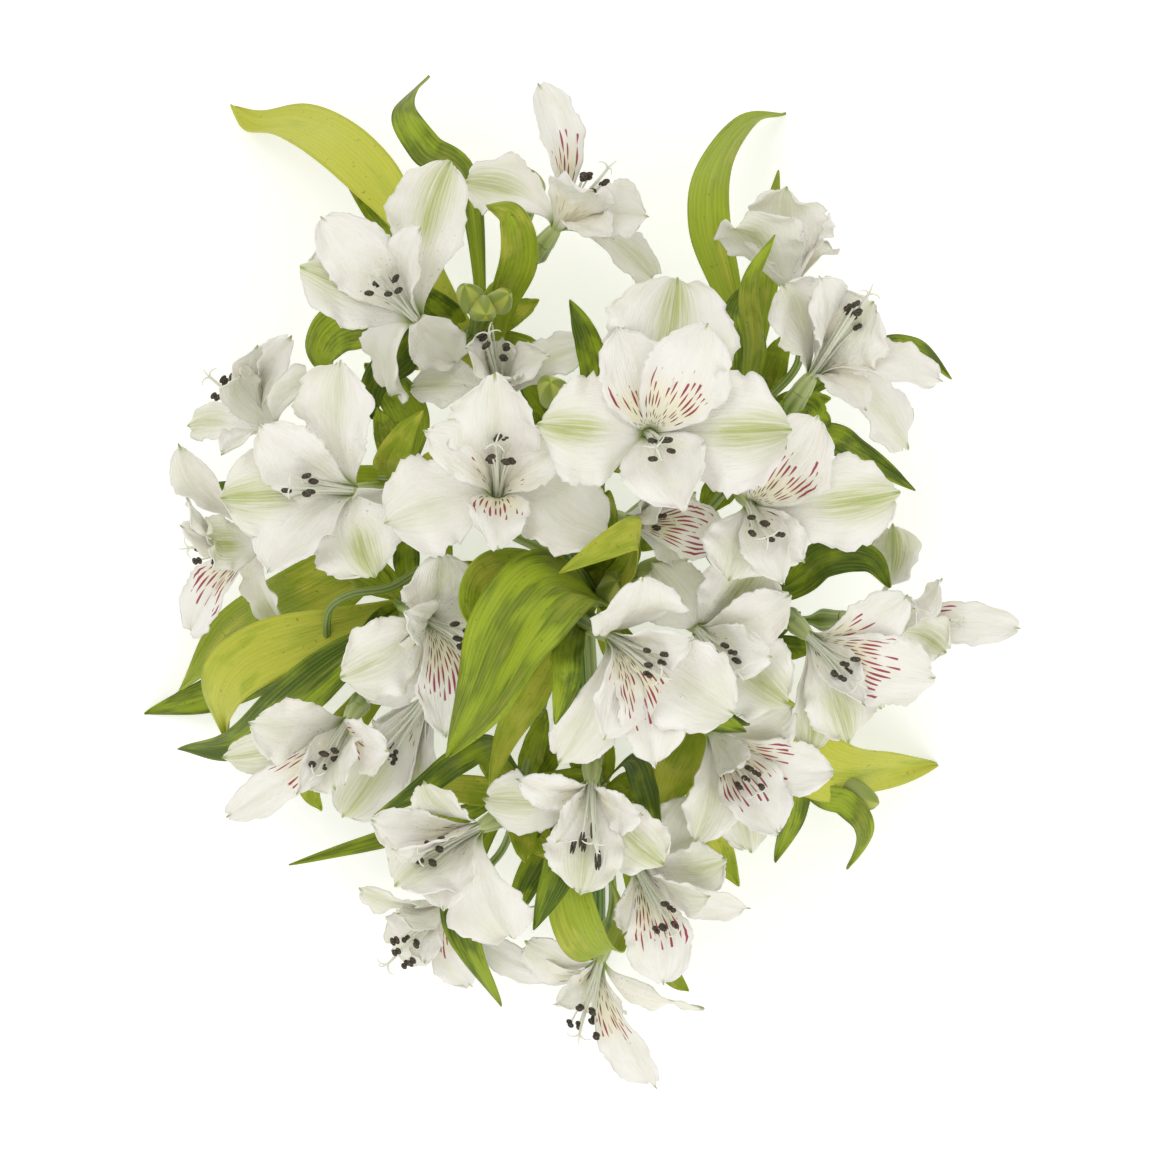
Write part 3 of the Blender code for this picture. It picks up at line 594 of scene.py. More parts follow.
# A leaf: the ray that carries it, the places it passes on its way from the ray to its tip, its
# width, and its tone from 0, yellow green, to 1, dark green.
LEAVES = [
    (1, [(-47, 97, 62), (-56, 110, 57), (-67, 121, 45), (-79, 127, 25), (-90, 127, 8),
         (-97, 132, 0)], 16, -0.2),
    (1, [(-48, 92, 50), (-58, 104, 48), (-66, 113, 50)], 8, 0.45),
    (1, [(-31, 108, 58), (-43, 120, 54), (-49, 131, 44), (-42, 140, 30)], 10, 0.55),
    (1, [(-21, 78, 76), (-17, 90, 88), (-19, 101, 92), (-26, 104, 88)], 11, 0.35),
    (3, [(42, 76, 58), (36, 97, 54), (37, 114, 40), (46, 127, 16), (57, 130, 0)], 12, 0.35),
    (3, [(52, 80, 50), (53, 100, 50), (55, 114, 48)], 6, 0.4),
    (3, [(48, 64, 92), (47, 82, 112), (54, 96, 118)], 6, 0.45),
    (3, [(46, 62, 68), (44, 74, 70), (48, 83, 66)], 12, 0.85),
    (2, [(4, 54, 82), (2, 67, 92), (-3, 78, 94)], 9, 0.75),
    (1, [(-50, 70, 62), (-65, 71, 65), (-72, 64, 60), (-69, 56, 52)], 15, 0.5),
    (5, [(-47, 43, 58), (-53, 54, 54), (-60, 60, 50)], 12, 0.55),
    (5, [(-53, 31, 82), (-50, 39, 90), (-44, 47, 84)], 9, 0.2),
    (5, [(-70, 26, 56), (-92, 25, 52), (-109, 26, 46)], 8, 0.7),
    (6, [(-60, 2, 58), (-78, -5, 50), (-96, -14, 30), (-112, -31, 4)], 19, 0.3),
    (6, [(-80, -21, 32), (-101, -31, 12), (-121, -37, 0)], 13, 0.55),
    (6, [(-72, -14, 64), (-92, -22, 56), (-100, -33, 44), (-99, -43, 32)], 18, 0.02),
    (6, [(-64, -20, 72), (-80, -33, 62), (-95, -45, 38), (-112, -47, 16)], 14, 0.75),
    (6, [(-70, -42, 48), (-84, -51, 44), (-91, -60, 40)], 6, 0.3),
    (6, [(-66, -44, 50), (-75, -56, 46), (-72, -64, 44)], 9, 0.3),
    (7, [(-35, -66, 42), (-52, -71, 34), (-81, -79, 26)], 7, 0.5),
    (10, [(2, -3, 108), (-8, -2, 126), (-18, -13, 130), (-27, -32, 122), (-37, -49, 106)], 27, 0.5),
    (7, [(-24, -46, 74), (-34, -50, 86), (-46, -59, 82), (-57, -65, 74)], 8, 0.8),
    (10, [(-13, 3, 102), (-26, 0, 117), (-29, -8, 120), (-26, -16, 120)], 14, 0.35),
    (10, [(5, 4, 80), (10, 10, 84), (17, 15, 80)], 12, 0.2),
    (10, [(-3, -16, 116), (-4, -28, 128), (-7, -40, 124)], 9, 0.6),
    (9, [(26, -30, 82), (34, -36, 96), (47, -40, 96)], 11, 0.9),
    (10, [(-12, -30, 84), (-20, -42, 84), (-25, -57, 78)], 9, 0.15),
    (9, [(30, -46, 66), (25, -56, 76), (22, -65, 72)], 14, 0.2),
    (8, [(14, -50, 70), (18, -58, 84), (20, -66, 90), (22, -76, 88)], 8, 0.85),
    (9, [(56, -40, 50), (68, -52, 40), (84, -53, 20), (99, -51, 0)], 20, -0.05),
    (9, [(56, -48, 44), (59, -64, 36), (54, -78, 22)], 10, 0.6),
    (9, [(62, -55, 38), (74, -62, 32), (79, -70, 26), (74, -80, 14)], 8, 0.5),
    (9, [(34, -60, 48), (38, -74, 42), (44, -85, 38)], 11, 0.25),
    (9, [(57, -2, 70), (68, 6, 76), (80, 6, 78), (86, -2, 76)], 11, 0.85),
    (3, [(66, 40, 60), (78, 35, 56), (93, 25, 46)], 9, 0.7),
    (3, [(60, 48, 64), (66, 45, 64), (69, 42, 60)], 8, 0.6),
    (3, [(75, 60, 60), (92, 65, 58), (103, 56, 48)], 7, 0.7),
    (8, [(-1, -67, 76), (-6, -81, 91), (-13, -97, 90)], 12, 1.0),
    (8, [(-8, -72, 50), (-15, -84, 50), (-20, -97, 44)], 9, 0.7),
    (8, [(-1, -70, 72), (-3, -86, 82), (1, -99, 72), (7, -103, 58), (11, -94, 54),
         (8, -82, 62)], 14, 0.3),
    (7, [(-31, -80, 60), (-34, -92, 62), (-30, -104, 58), (-22, -118, 44)], 10, 0.7),
    (8, [(18, -94, 36), (24, -108, 30), (30, -114, 24)], 8, 0.4),
    (10, [(16, -22, 98), (26, -33, 111), (36, -38, 110), (46, -42, 103)], 11, 0.75),
    (10, [(5, 8, 94), (6, 17, 105), (8, 25, 102)], 11, 0.45),
    (1, [(-43, 66, 60), (-50, 63, 66), (-57, 55, 64), (-58, 45, 56)], 13, 0.75),
    (10, [(10, -1, 92), (15, 8, 110), (15, 13, 117), (6, 9, 123), (-6, 2, 122)], 11, 0.1),
]


class Blades:
    """Thin blades gathered into one mesh. Each has its own map and its own numbers for its skin."""

    def __init__(self):
        self.points = []
        self.faces = []
        self.spots = []
        self.numbers = {}

    def add(self, shaped, rows, columns, ease, numbers):
        """Adds a blade from a function of the shares along and across it."""
        first = len(self.points)
        for i in range(rows + 1):
            s = 1 - (1 - i / rows) ** ease
            for j in range(columns + 1):
                t = 2 * j / columns - 1
                self.points.append(shaped(s, t) * MM)
                self.spots.append(((t + 1) / 2, s))
        for key, number in numbers.items():
            self.numbers.setdefault(key, []).extend([number] * ((rows + 1) * (columns + 1)))
        for i in range(rows):
            for j in range(columns):
                a = first + i * (columns + 1) + j
                self.faces.append((a, a + 1, a + columns + 2, a + columns + 1))

    def piece(self, name, thickness, skins):
        """The blades as one piece with walls, the first skin on top and the second below."""
        mesh = bpy.data.meshes.new(name)
        mesh.from_pydata(self.points, [], self.faces)
        spots = mesh.uv_layers.new(name="blade")
        for loop in mesh.loops:
            spots.data[loop.index].uv = self.spots[loop.vertex_index]
        for key, numbers in self.numbers.items():
            mesh.attributes.new(key, "FLOAT", "POINT").data.foreach_set("value", numbers)
        mesh.polygons.foreach_set("use_smooth", [True] * len(mesh.polygons))
        for skin in skins:
            mesh.materials.append(skin)
        thing = link(bpy.data.objects.new(name, mesh))
        wall = thing.modifiers.new("wall", "SOLIDIFY")
        wall.thickness = thickness * MM
        wall.offset = 0.0
        wall.material_offset = len(skins) - 1
        return thing


def half_width(shape, s):
    """How wide a blade is at share s of its length, as a share of its widest."""
    grown_out = shape["claw"] + (1 - shape["claw"]) * smooth(0.0, shape["belly"], s)
    if s <= shape["belly"]:
        return grown_out
    return max(1 - ((s - shape["belly"]) / shape["point"]) ** 2, 0.0) ** shape["power"]


LEAF_SHAPE = {"claw": 0.22, "belly": 0.42, "point": 0.585, "power": 0.9}


def leaf_frames(points, steps):
    """The centre, side and face of a leaf at each step, turned as little as possible."""
    centres = [through(points, i / steps) for i in range(steps + 1)]
    chord = points[-1] - points[0]
    side = Vector((chord.x, chord.y, 0.0)).normalized().cross(Vector((0, 0, 1)))
    frames = []
    for i, centre in enumerate(centres):
        along = (centres[min(i + 1, steps)] - centres[max(i - 1, 0)]).normalized()
        side = (side - along * side.dot(along)).normalized()
        frames.append((centre, side, side.cross(along), along))
    return frames


def leaf_blade(points, width, turn, draw):
    """The function that shapes one leaf."""
    frames = leaf_frames(points, LEAF_ROWS)
    waves = draw.uniform(1.6, 3.0)
    start = draw.uniform(0, ROUND)
    seed = draw.uniform(0, 50)
    pleats = draw.uniform(6.5, 9.0)
    height = LEAF_WAVE * width

    def shaped(s, t):
        centre, side, face, along = frames[min(round(s * LEAF_ROWS), LEAF_ROWS)]
        roll = Matrix.Rotation(math.radians(turn * smooth(0.1, 0.9, s)), 3, along)
        side, face = roll @ side, roll @ face
        half = half_width(LEAF_SHAPE, s) * width / 2
        grown_out = smooth(0.1, 0.4, s)
        wave = math.sin(ROUND * waves * s + start + 1.2 * (t > 0)) * abs(t) ** 2.5 * grown_out
        fold = LEAF_FOLD * width * (abs(t) - 0.35) * smooth(0.0, 0.3, s) * (1 - s)
        pleat = LEAF_PLEAT * width * math.cos(pleats * t + start) * smooth(0.05, 0.3, s)
        dent = LEAF_DENT * width * noise.noise((s * 4.0, t * 1.1, seed)) * grown_out
        rise = LEAF_CHANNEL * half * t * t + height * wave * (1 - s * 0.5) + fold + pleat + dent
        edge = LEAF_RAGGED * noise.noise((s * 7.0, seed + 5 * (t > 0), 4.0)) * abs(t) ** 3
        spot = centre + side * (t * half * (1 + edge)) + face * rise
        spot.z = max(spot.z, LEAF_THICKNESS)
        return spot

    return shaped


def blade_shares(tree):
    """Where a skin is on its blade: from -1 to 1 across it, and from 0 to 1 along it."""
    where = tree.node("UVMap", {"uv_map": "blade"})
    across = tree.node("SeparateXYZ", {}, {"Vector": where}) * 2 - 1
    return across, tree.node("SeparateXYZ", {}, {"Vector": where}, output="Y")


def leaf_skin(name, dark, light, gloss):
    """A leaf's skin: streaks and fine veins along it, patches of other greens, and small flecks."""
    made, tree = material(name)
    across, along = blade_shares(tree)
    tone = tree.attribute("tone")
    width = tree.attribute("width")
    seed = tree.attribute("seed")
    off = across * width / 2
    streak = tree.cloud(tree.spot(off * 1.2, along * 3.5, seed), 1.0, 4.0).rise(0.28, 0.72)
    hair = tree.cloud(tree.spot(off * 3.2, along * 5.0, seed + 8), 1.0, 3.0).rise(0.3, 0.7)
    patch = tree.cloud(tree.spot(off * 0.16, along * 4.0, seed + 4), 1.0, 3.0).rise(0.3, 0.7)

    # The mix of greens: its own tone, and patches and streaks that are deeper or yellower.
    depth = tone * 0.88 + (patch - 0.5) * 0.85 + (streak - 0.5) * 0.28
    green = tree.tint(light, dark, depth.rise(0.0, 1.0))
    green = tree.tint(green, LEAF_YELLOW, (0.42 - tone + (patch - 0.5) * 0.6).rise(0.0, 0.5) * 0.8)
    veins = tree.math("SINE", off * 5.2 + streak * 1.5) * 0.5 + 0.5
    green = tree.tint(green, dark, veins * hair * 0.13 + (1 - hair) * 0.12)
    green = tree.tint(green, LEAF_PALE, hair * (1 - veins) * 0.20 + (1 - patch) * (1 - tone) * 0.22)
    rib = (1 - abs(off).rise(0.1, 0.55)) * (1 - along)
    green = tree.tint(green, LEAF_PALE, rib * 0.3)
    flecks = tree.cloud(tree.node("TexCoord", output="Object"), 620.0, 4.0).rise(0.64, 0.74)
    green = tree.tint(green, LEAF_FLECK, flecks * 0.5)
    height = veins * 0.5 + hair * 0.8 + streak * 1.6
    bump = tree.node("Bump", {}, {"Height": height, "Strength": 0.35, "Distance": 0.0006})
    surface(made, tree, {"Base Color": green, "Roughness": gloss + hair * 0.16, "Normal": bump,
                         "Specular IOR Level": 0.25})
    return made


LEAF_GREEN = (0.31, 0.42, 0.006)
LEAF_DEEP = (0.060, 0.112, 0.003)
LEAF_YELLOW = (0.69, 0.69, 0.08)
LEAF_PALE = (0.56, 0.60, 0.11)
LEAF_FLECK = (0.11, 0.11, 0.015)
BELOW_GREEN = (0.33, 0.43, 0.02)
BELOW_DEEP = (0.09, 0.15, 0.010)
leaf_top = leaf_skin("leaf_top", LEAF_DEEP, LEAF_GREEN, gloss=0.33)
leaf_below = leaf_skin("leaf_below", BELOW_DEEP, BELOW_GREEN, gloss=0.48)
for number in RAYS:
    root, fork = ray_ends(number)
    foot = root + Vector((0, 0, RAY_FOOT))
    blades = Blades()
    draw = random.Random(number)
    carried = [leaf for leaf in LEAVES if leaf[0] == number]
    for place_on_ray, (_, spots, width, tone) in enumerate(carried):
        start = ray_point(foot, fork, LEAF_START - LEAF_STEP * place_on_ray)
        shaped = leaf_blade([start] + [place(*p) for p in spots], width, 0, draw)
        blades.add(shaped, LEAF_ROWS, LEAF_COLUMNS, 1.0,
                   {"tone": tone, "width": width, "seed": draw.uniform(0, 90)})

    # The small bracts round the fork. Their length, width, twist and tone are drawn.
    slot = RAYS[number][1] or 0
    for spread, lift in BRACTS:
        out = heading(slot + spread + draw.uniform(-20, 20), lift + draw.uniform(-8, 8))
        reach = draw.uniform(20, 29)
        low = fork - Vector((0, 0, 3))
        raised = low + out * reach * 0.72 + Vector((0, 0, 1.5))
        bend = [low, low + out * reach * 0.35, raised, low + out * reach]
        blade_width = draw.uniform(7, 10)
        shaped = leaf_blade(bend, blade_width, draw.uniform(-25, 25), draw)
        blades.add(shaped, BRACT_ROWS, LEAF_COLUMNS, 1.0,
                   {"tone": draw.uniform(0.1, 0.7), "width": blade_width, "seed": draw.uniform(0, 90)})
    leaves = blades.piece(f"leaves_{number}", LEAF_THICKNESS, [leaf_top, leaf_below])
    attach(leaves, "root")
    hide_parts(f"ray_{number}")


# The blooms. Each has six petal-like tepals that narrow to claws and grow from one short green
# tube: three broad outer ones with a green stripe towards the tip, and two streaked upper ones and
# one narrow lower one inside them. They are soft and thin, with wavy, ragged edges.

TEPAL_ROWS = 38
TEPAL_COLUMNS = 18
TEPAL_THICKNESS = 0.32
CLAW_SINK = 2.0
CLAW_SPREAD = 1.2
ROW_EASE = 1.3
TIP_REACH = 0.38

# How ragged a tepal's edge is, as a share of half its width.
TEPAL_RAGGED = 0.10

# The relief of a tepal: the first three in shares of its width, the last two in millimetres.
SLOW_WAVE = 0.085
TEPAL_PLEAT = 0.011
ROUND_END = 0.06
HORN = 0.9
NOTCH = 1.1

# The three kinds of tepal: the width of the claw, where the blade is broadest, how it closes at
# the tip, its cup, the curl of its tip in degrees, how far it first goes along the bloom's axis
# and away from it, and its waves.
KINDS = {
    "outer": {"claw": 0.10, "belly": 0.67, "point": 0.34, "power": 0.43, "cup": 0.16, "curl": 24,
              "rise": 0.20, "flare": 0.20, "wave": 0.060, "kind": 0.0},
    "upper": {"claw": 0.14, "belly": 0.65, "point": 0.36, "power": 0.49, "cup": 0.22, "curl": 26,
              "rise": 0.33, "flare": 0.10, "wave": 0.050, "kind": 1.0},
    "lower": {"claw": 0.18, "belly": 0.57, "point": 0.44, "power": 0.66, "cup": 0.30, "curl": 20,
              "rise": 0.28, "flare": 0.11, "wave": 0.045, "kind": 1.0},
}

# Every bloom has its tepals in one order. A tepal has the plan of its tip, the rise of the tip above
# the throat, its width, and how strong its paint is: the green stripe of an outer one, and the dashes
# of the others.
ORDER = ("outer", "outer", "outer", "upper", "upper", "lower")
TEPALS = {
    1: [(-37, 115, 12, 24, 1), (-76, 86, 14, 26, 0.7), (-52, 53, -22, 22, 0.2),
        (-71, 100, 16, 20, 0.15), (-45, 97, 30, 15, 0.1), (-35, 61, -16, 16, 0.1)],
    2: [(17, 102, 2, 20, 0.2), (-31, 111, -2, 20, 0.8), (20, 84, -12, 14, 0.5),
        (-11, 137, 8, 14, 1), (3, 108, 16, 20, 0.8), (8, 96, 14, 14, 0.4)],
    3: [(44, 99, 18, 27, 0.8), (57, 107, 15, 24, 0.4), (66, 95, -12, 20, 0.5),
        (68, 101, -4, 20, 1.1), (49, 96, 2, 16, 0.5), (60, 96, 12, 12, 0.3)],
    4: [(56, 80, 12, 27, 0.4), (80, 76, 12, 27, 0.4), (90, 38, -14, 19, 0.3),
        (99, 56, 10, 15, 0.7), (67, 83, 20, 17, 0.3), (79, 48, 12, 14, 0.3)],
    5: [(27, 82, 5, 37, 1), (-9, 43, 10, 31, 0.9), (56, 42, 10, 33, 1),
        (11, 69, 14, 20, 1), (35, 70, 14, 24, 1), (28, 21, 12, 24, 0.1)],
    6: [(-24, 55, 28, 26, 0.2), (-52, 17, 6, 28, 0.3), (5, 13, 6, 28, 0.2),
        (-42, 41, 24, 15, 0.5), (-6, 37, 14, 16, 0.5), (-23, 9, 24, 17, 1)],
    7: [(-98, 23, 12, 26, 0.9), (-58, 3, 8, 27, 0.9), (-67, 59, 20, 25, 0.3),
        (-88, 42, 18, 20, 0.15), (-86, 4, 13, 22, 0.1), (-50, 17, -7, 14, 0.1)],
    8: [(-108, 43, -16, 12, 0.5), (-95, 57, 28, 13, 0.2), (-75, 56, -12, 20, 0.2),
        (-81, 67, 20, 12, 0.6), (-90, 64, 28, 12, 0.3), (-99, 36, 14, 11, 0.2)],
    9: [(-111, 36, 22, 13, 0.2), (-102, 11, 26, 16, 1), (-85, -10, -12, 16, 0.4),
        (-109, 22, 24, 14, 0.6), (-108, -14, -14, 15, 1.2), (-110, 15, 26, 12, 0.4)],
    10: [(-65, -26, 14, 23, 0.5), (-39, 6, 22, 22, 0.3), (-26, -7, 4, 20, 0.3),
         (-37, -42, 5, 18, 1.3), (-58, -33, -2, 18, 0.6), (-48, -9, 30, 14, 0.3)],
    11: [(-90, -40, 20, 20, 0.2), (-98, -49, 0, 12, 0.6), (-68, -57, 22, 20, 0.3),
         (-97, -65, -4, 12, 0.9), (-54, -47, 24, 17, 0.9), (-78, -58, 18, 11, 0.5)],
    12: [(-46, -58, -22, 24, 0.8), (-65, -64, -20, 18, 0.8), (-50, -46, -36, 20, 0.6),
         (-54, -61, -28, 18, 0.6), (-37, -54, -34, 16, 0.5), (-60, -52, -32, 12, 0.3)],
    13: [(-20, -98, -12, 26, 0.2), (-50, -83, 16, 26, 0.5), (-43, -57, 22, 15, 0.5),
         (-57, -67, 14, 14, 0.5), (-38, -90, 14, 18, 0.3), (-51, -75, 26, 11, 0.3)],
    14: [(-60, -86, 10, 13, 0.5), (-51, -102, -12, 18, 0.3), (-31, -97, 12, 16, 0.2),
         (-31, -112, -8, 14, 0.9), (-43, -105, 6, 14, 0.8), (-50, -93, 10, 12, 0.3)],
    15: [(17, -1, 22, 26, 0.1), (-5, -49, -4, 18, 0.3), (41, -36, 8, 26, 0.3),
         (21, -50, 8, 20, 1.3), (7, -43, 16, 15, 0.9), (30, -17, 20, 14, 0.3)],
    16: [(49, 4, 12, 27, 0.9), (56, -33, 4, 25, 0.9), (21, 3, 2, 20, 0.3),
         (57, -5, 12, 17, 0.2), (52, -21, 15, 16, 0.3), (39, -28, 7, 12, 0.2)],
    17: [(86, 24, 6, 26, 1), (42, 2, 6, 22, 0.4), (45, 42, -14, 20, 0.3),
         (65, 44, 13, 23, 1.2), (61, 6, 5, 14, 0.5), (56, 0, 11, 14, 0.4)],
    18: [(31, 24, -8, 12, 0.4), (29, 5, -8, 12, 0.3), (20, 27, 8, 10, 0.2),
         (39, 11, 3, 17, 1.6), (27, 20, -6, 10, 1.2), (22, 24, 12, 9, 0.6)],
    19: [(64, -46, -4, 15, 1), (74, -43, 1, 20, 0.8), (83, -35, -10, 17, 0.5),
         (90, -5, 12, 16, 1), (97, -27, 6, 21, 1.2), (78, -33, 14, 12, 0.5)],
    20: [(87, 14, 4, 18, 1), (101, -19, 8, 20, 0.8), (90, -24, -14, 16, 0.3),
         (121, -13, 2, 13, 0.8), (100, -1, 12, 14, 0.3), (93, -8, 20, 11, 0.3)],
    21: [(33, -71, 6, 18, 0.5), (58, -36, 10, 17, 0.3), (47, -74, -6, 16, 0.5),
         (69, -53, 4, 17, 1.1), (54, -69, 8, 19, 1.2), (43, -52, 18, 11, 0.4)],
    22: [(-25, -61, -2, 19, 0.7), (0, -85, 6, 22, 0.6), (22, -78, 0, 20, 0.8),
         (-16, -56, 12, 12, 0.4), (16, -65, 16, 14, 0.5), (-6, -72, 14, 12, 0.3)],
    23: [(39, -78, 6, 18, 0.6), (30, -61, 8, 17, 0.3), (34, -88, 16, 15, 0.4),
         (23, -111, 2, 19, 1.2), (45, -91, 4, 11, 0.3), (12, -97, -8, 12, 0.5)],
    24: [(33, -118, 0, 15, 0.3), (-14, -101, 10, 16, 0.3), (5, -119, -20, 18, 0.3),
         (20, -139, 0, 14, 1), (-27, -101, 2, 12, 0.3), (-6, -117, 6, 12, 0.6)],
    25: [(1, 65, 4, 15, 0.3), (-22, 66, 6, 14, 0.2), (-46, 54, -4, 17, 0.5),
         (-31, 64, 18, 16, 0.8), (-10, 62, 20, 13, 0.5), (-19, 56, 26, 10, 0.3)],
}


# Tepals that turn about their own line on the way to the tip: bloom and place in its row, degrees.
# Every other tepal turns this share of the way to lying flat.
TURNS = {(20, 0): 75, (24, 0): 30}
FLATTEN = 0.5


def lying_turn(out, side):
    """How far a blade turns about its own line to lie flat, in radians."""
    level = Vector((0, 0, 1)).cross(out).normalized()
    if level.dot(side) < 0:
        level = -level
    return math.atan2(out.normalized().dot(side.cross(level)), side.dot(level))


def tepal_blade(throat, axis, tip, width, kind, turned, draw):
    """The function that shapes one tepal."""
    shape = KINDS[kind]
    out = tip - throat
    chord = out.length
    radial = (out - axis * out.dot(axis)).normalized()
    side = axis.cross(radial)
    turned = math.radians(turned) if turned else FLATTEN * lying_turn(out, side)
    start = throat - axis * CLAW_SINK + radial * CLAW_SPREAD
    first = throat + axis * shape["rise"] * chord + radial * shape["flare"] * chord
    end = Matrix.Rotation(math.radians(shape["curl"]), 3, side) @ out.normalized()
    second = tip - end * TIP_REACH * chord
    seed = draw.uniform(0, 100)
    waves = [draw.uniform(2.6, 4.4) for _ in (0, 1)]
    shifts = [draw.uniform(0, ROUND) for _ in (0, 1)]
    roll = draw.uniform(-0.3, 0.3) + turned
    cup = shape["cup"] * draw.uniform(0.4, 1.5)
    crease = draw.uniform(0.2, 0.8)
    pleats = draw.uniform(5.0, 8.0)

    def shaped(s, t):
        centre = bezier(start, first, second, tip, s)
        ahead = bezier(start, first, second, tip, min(s + 0.01, 1.0))
        behind = bezier(start, first, second, tip, max(s - 0.01, 0.0))
        along = (ahead - behind).normalized()
        turn = Matrix.Rotation(roll * smooth(0.3, 1.0, s), 3, along)
        across = turn @ side
        inner = along.cross(across)
        left = t > 0
        edge_seed = seed + 7 * left
        blade = smooth(0.25, 0.6, s)
        margin = smooth(0.35, 1.0, abs(t)) * blade
        tooth = noise.noise((s * 11.0, edge_seed, 0.5)) + 0.9 * noise.noise((s * 37.0, edge_seed, 2.5))
        half = half_width(shape, s) * width / 2 * (1 + TEPAL_RAGGED * tooth * blade * abs(t) ** 3)
        swing = 1.5 * noise.noise((s * 2.0, edge_seed, 6.5))
        ruffle = math.sin(ROUND * waves[left] * s + shifts[left] + swing) * margin**1.6
        crimp = noise.noise((s * 12.0, t * 2.0, edge_seed)) * margin**2
        end_wave = math.sin(4.2 * t + shifts[0]) * smooth(0.75, 1.0, s) * 0.7
        slow = noise.noise((s * 2.4, t * 1.1, seed)) * smooth(0.15, 0.6, s)
        pleat = math.cos(pleats * t + shifts[1]) * smooth(0.1, 0.4, s) * (1 - smooth(0.7, 1.0, s))
        lift = shape["wave"] * width * (ruffle + 0.8 * crimp + end_wave)
        lift += width * (SLOW_WAVE * slow + TEPAL_PLEAT * pleat)
        groove = -crease * math.exp(-((t / 0.13) ** 2)) * smooth(0.1, 0.4, s) * (1 - smooth(0.85, 1.0, s))
        round_end = ROUND_END * width * (1 - t * t) * smooth(0.86, 1.0, s)
        horn = HORN * math.exp(-((t / 0.16) ** 2)) * smooth(0.93, 1.0, s)
        notch = NOTCH * noise.noise((t * 4.0, seed, 3.5)) * smooth(0.86, 1.0, s)
        return (centre + across * (t * half) + inner * (cup * half * t * t + lift + groove)
                + along * (round_end + horn + notch))

    return shaped


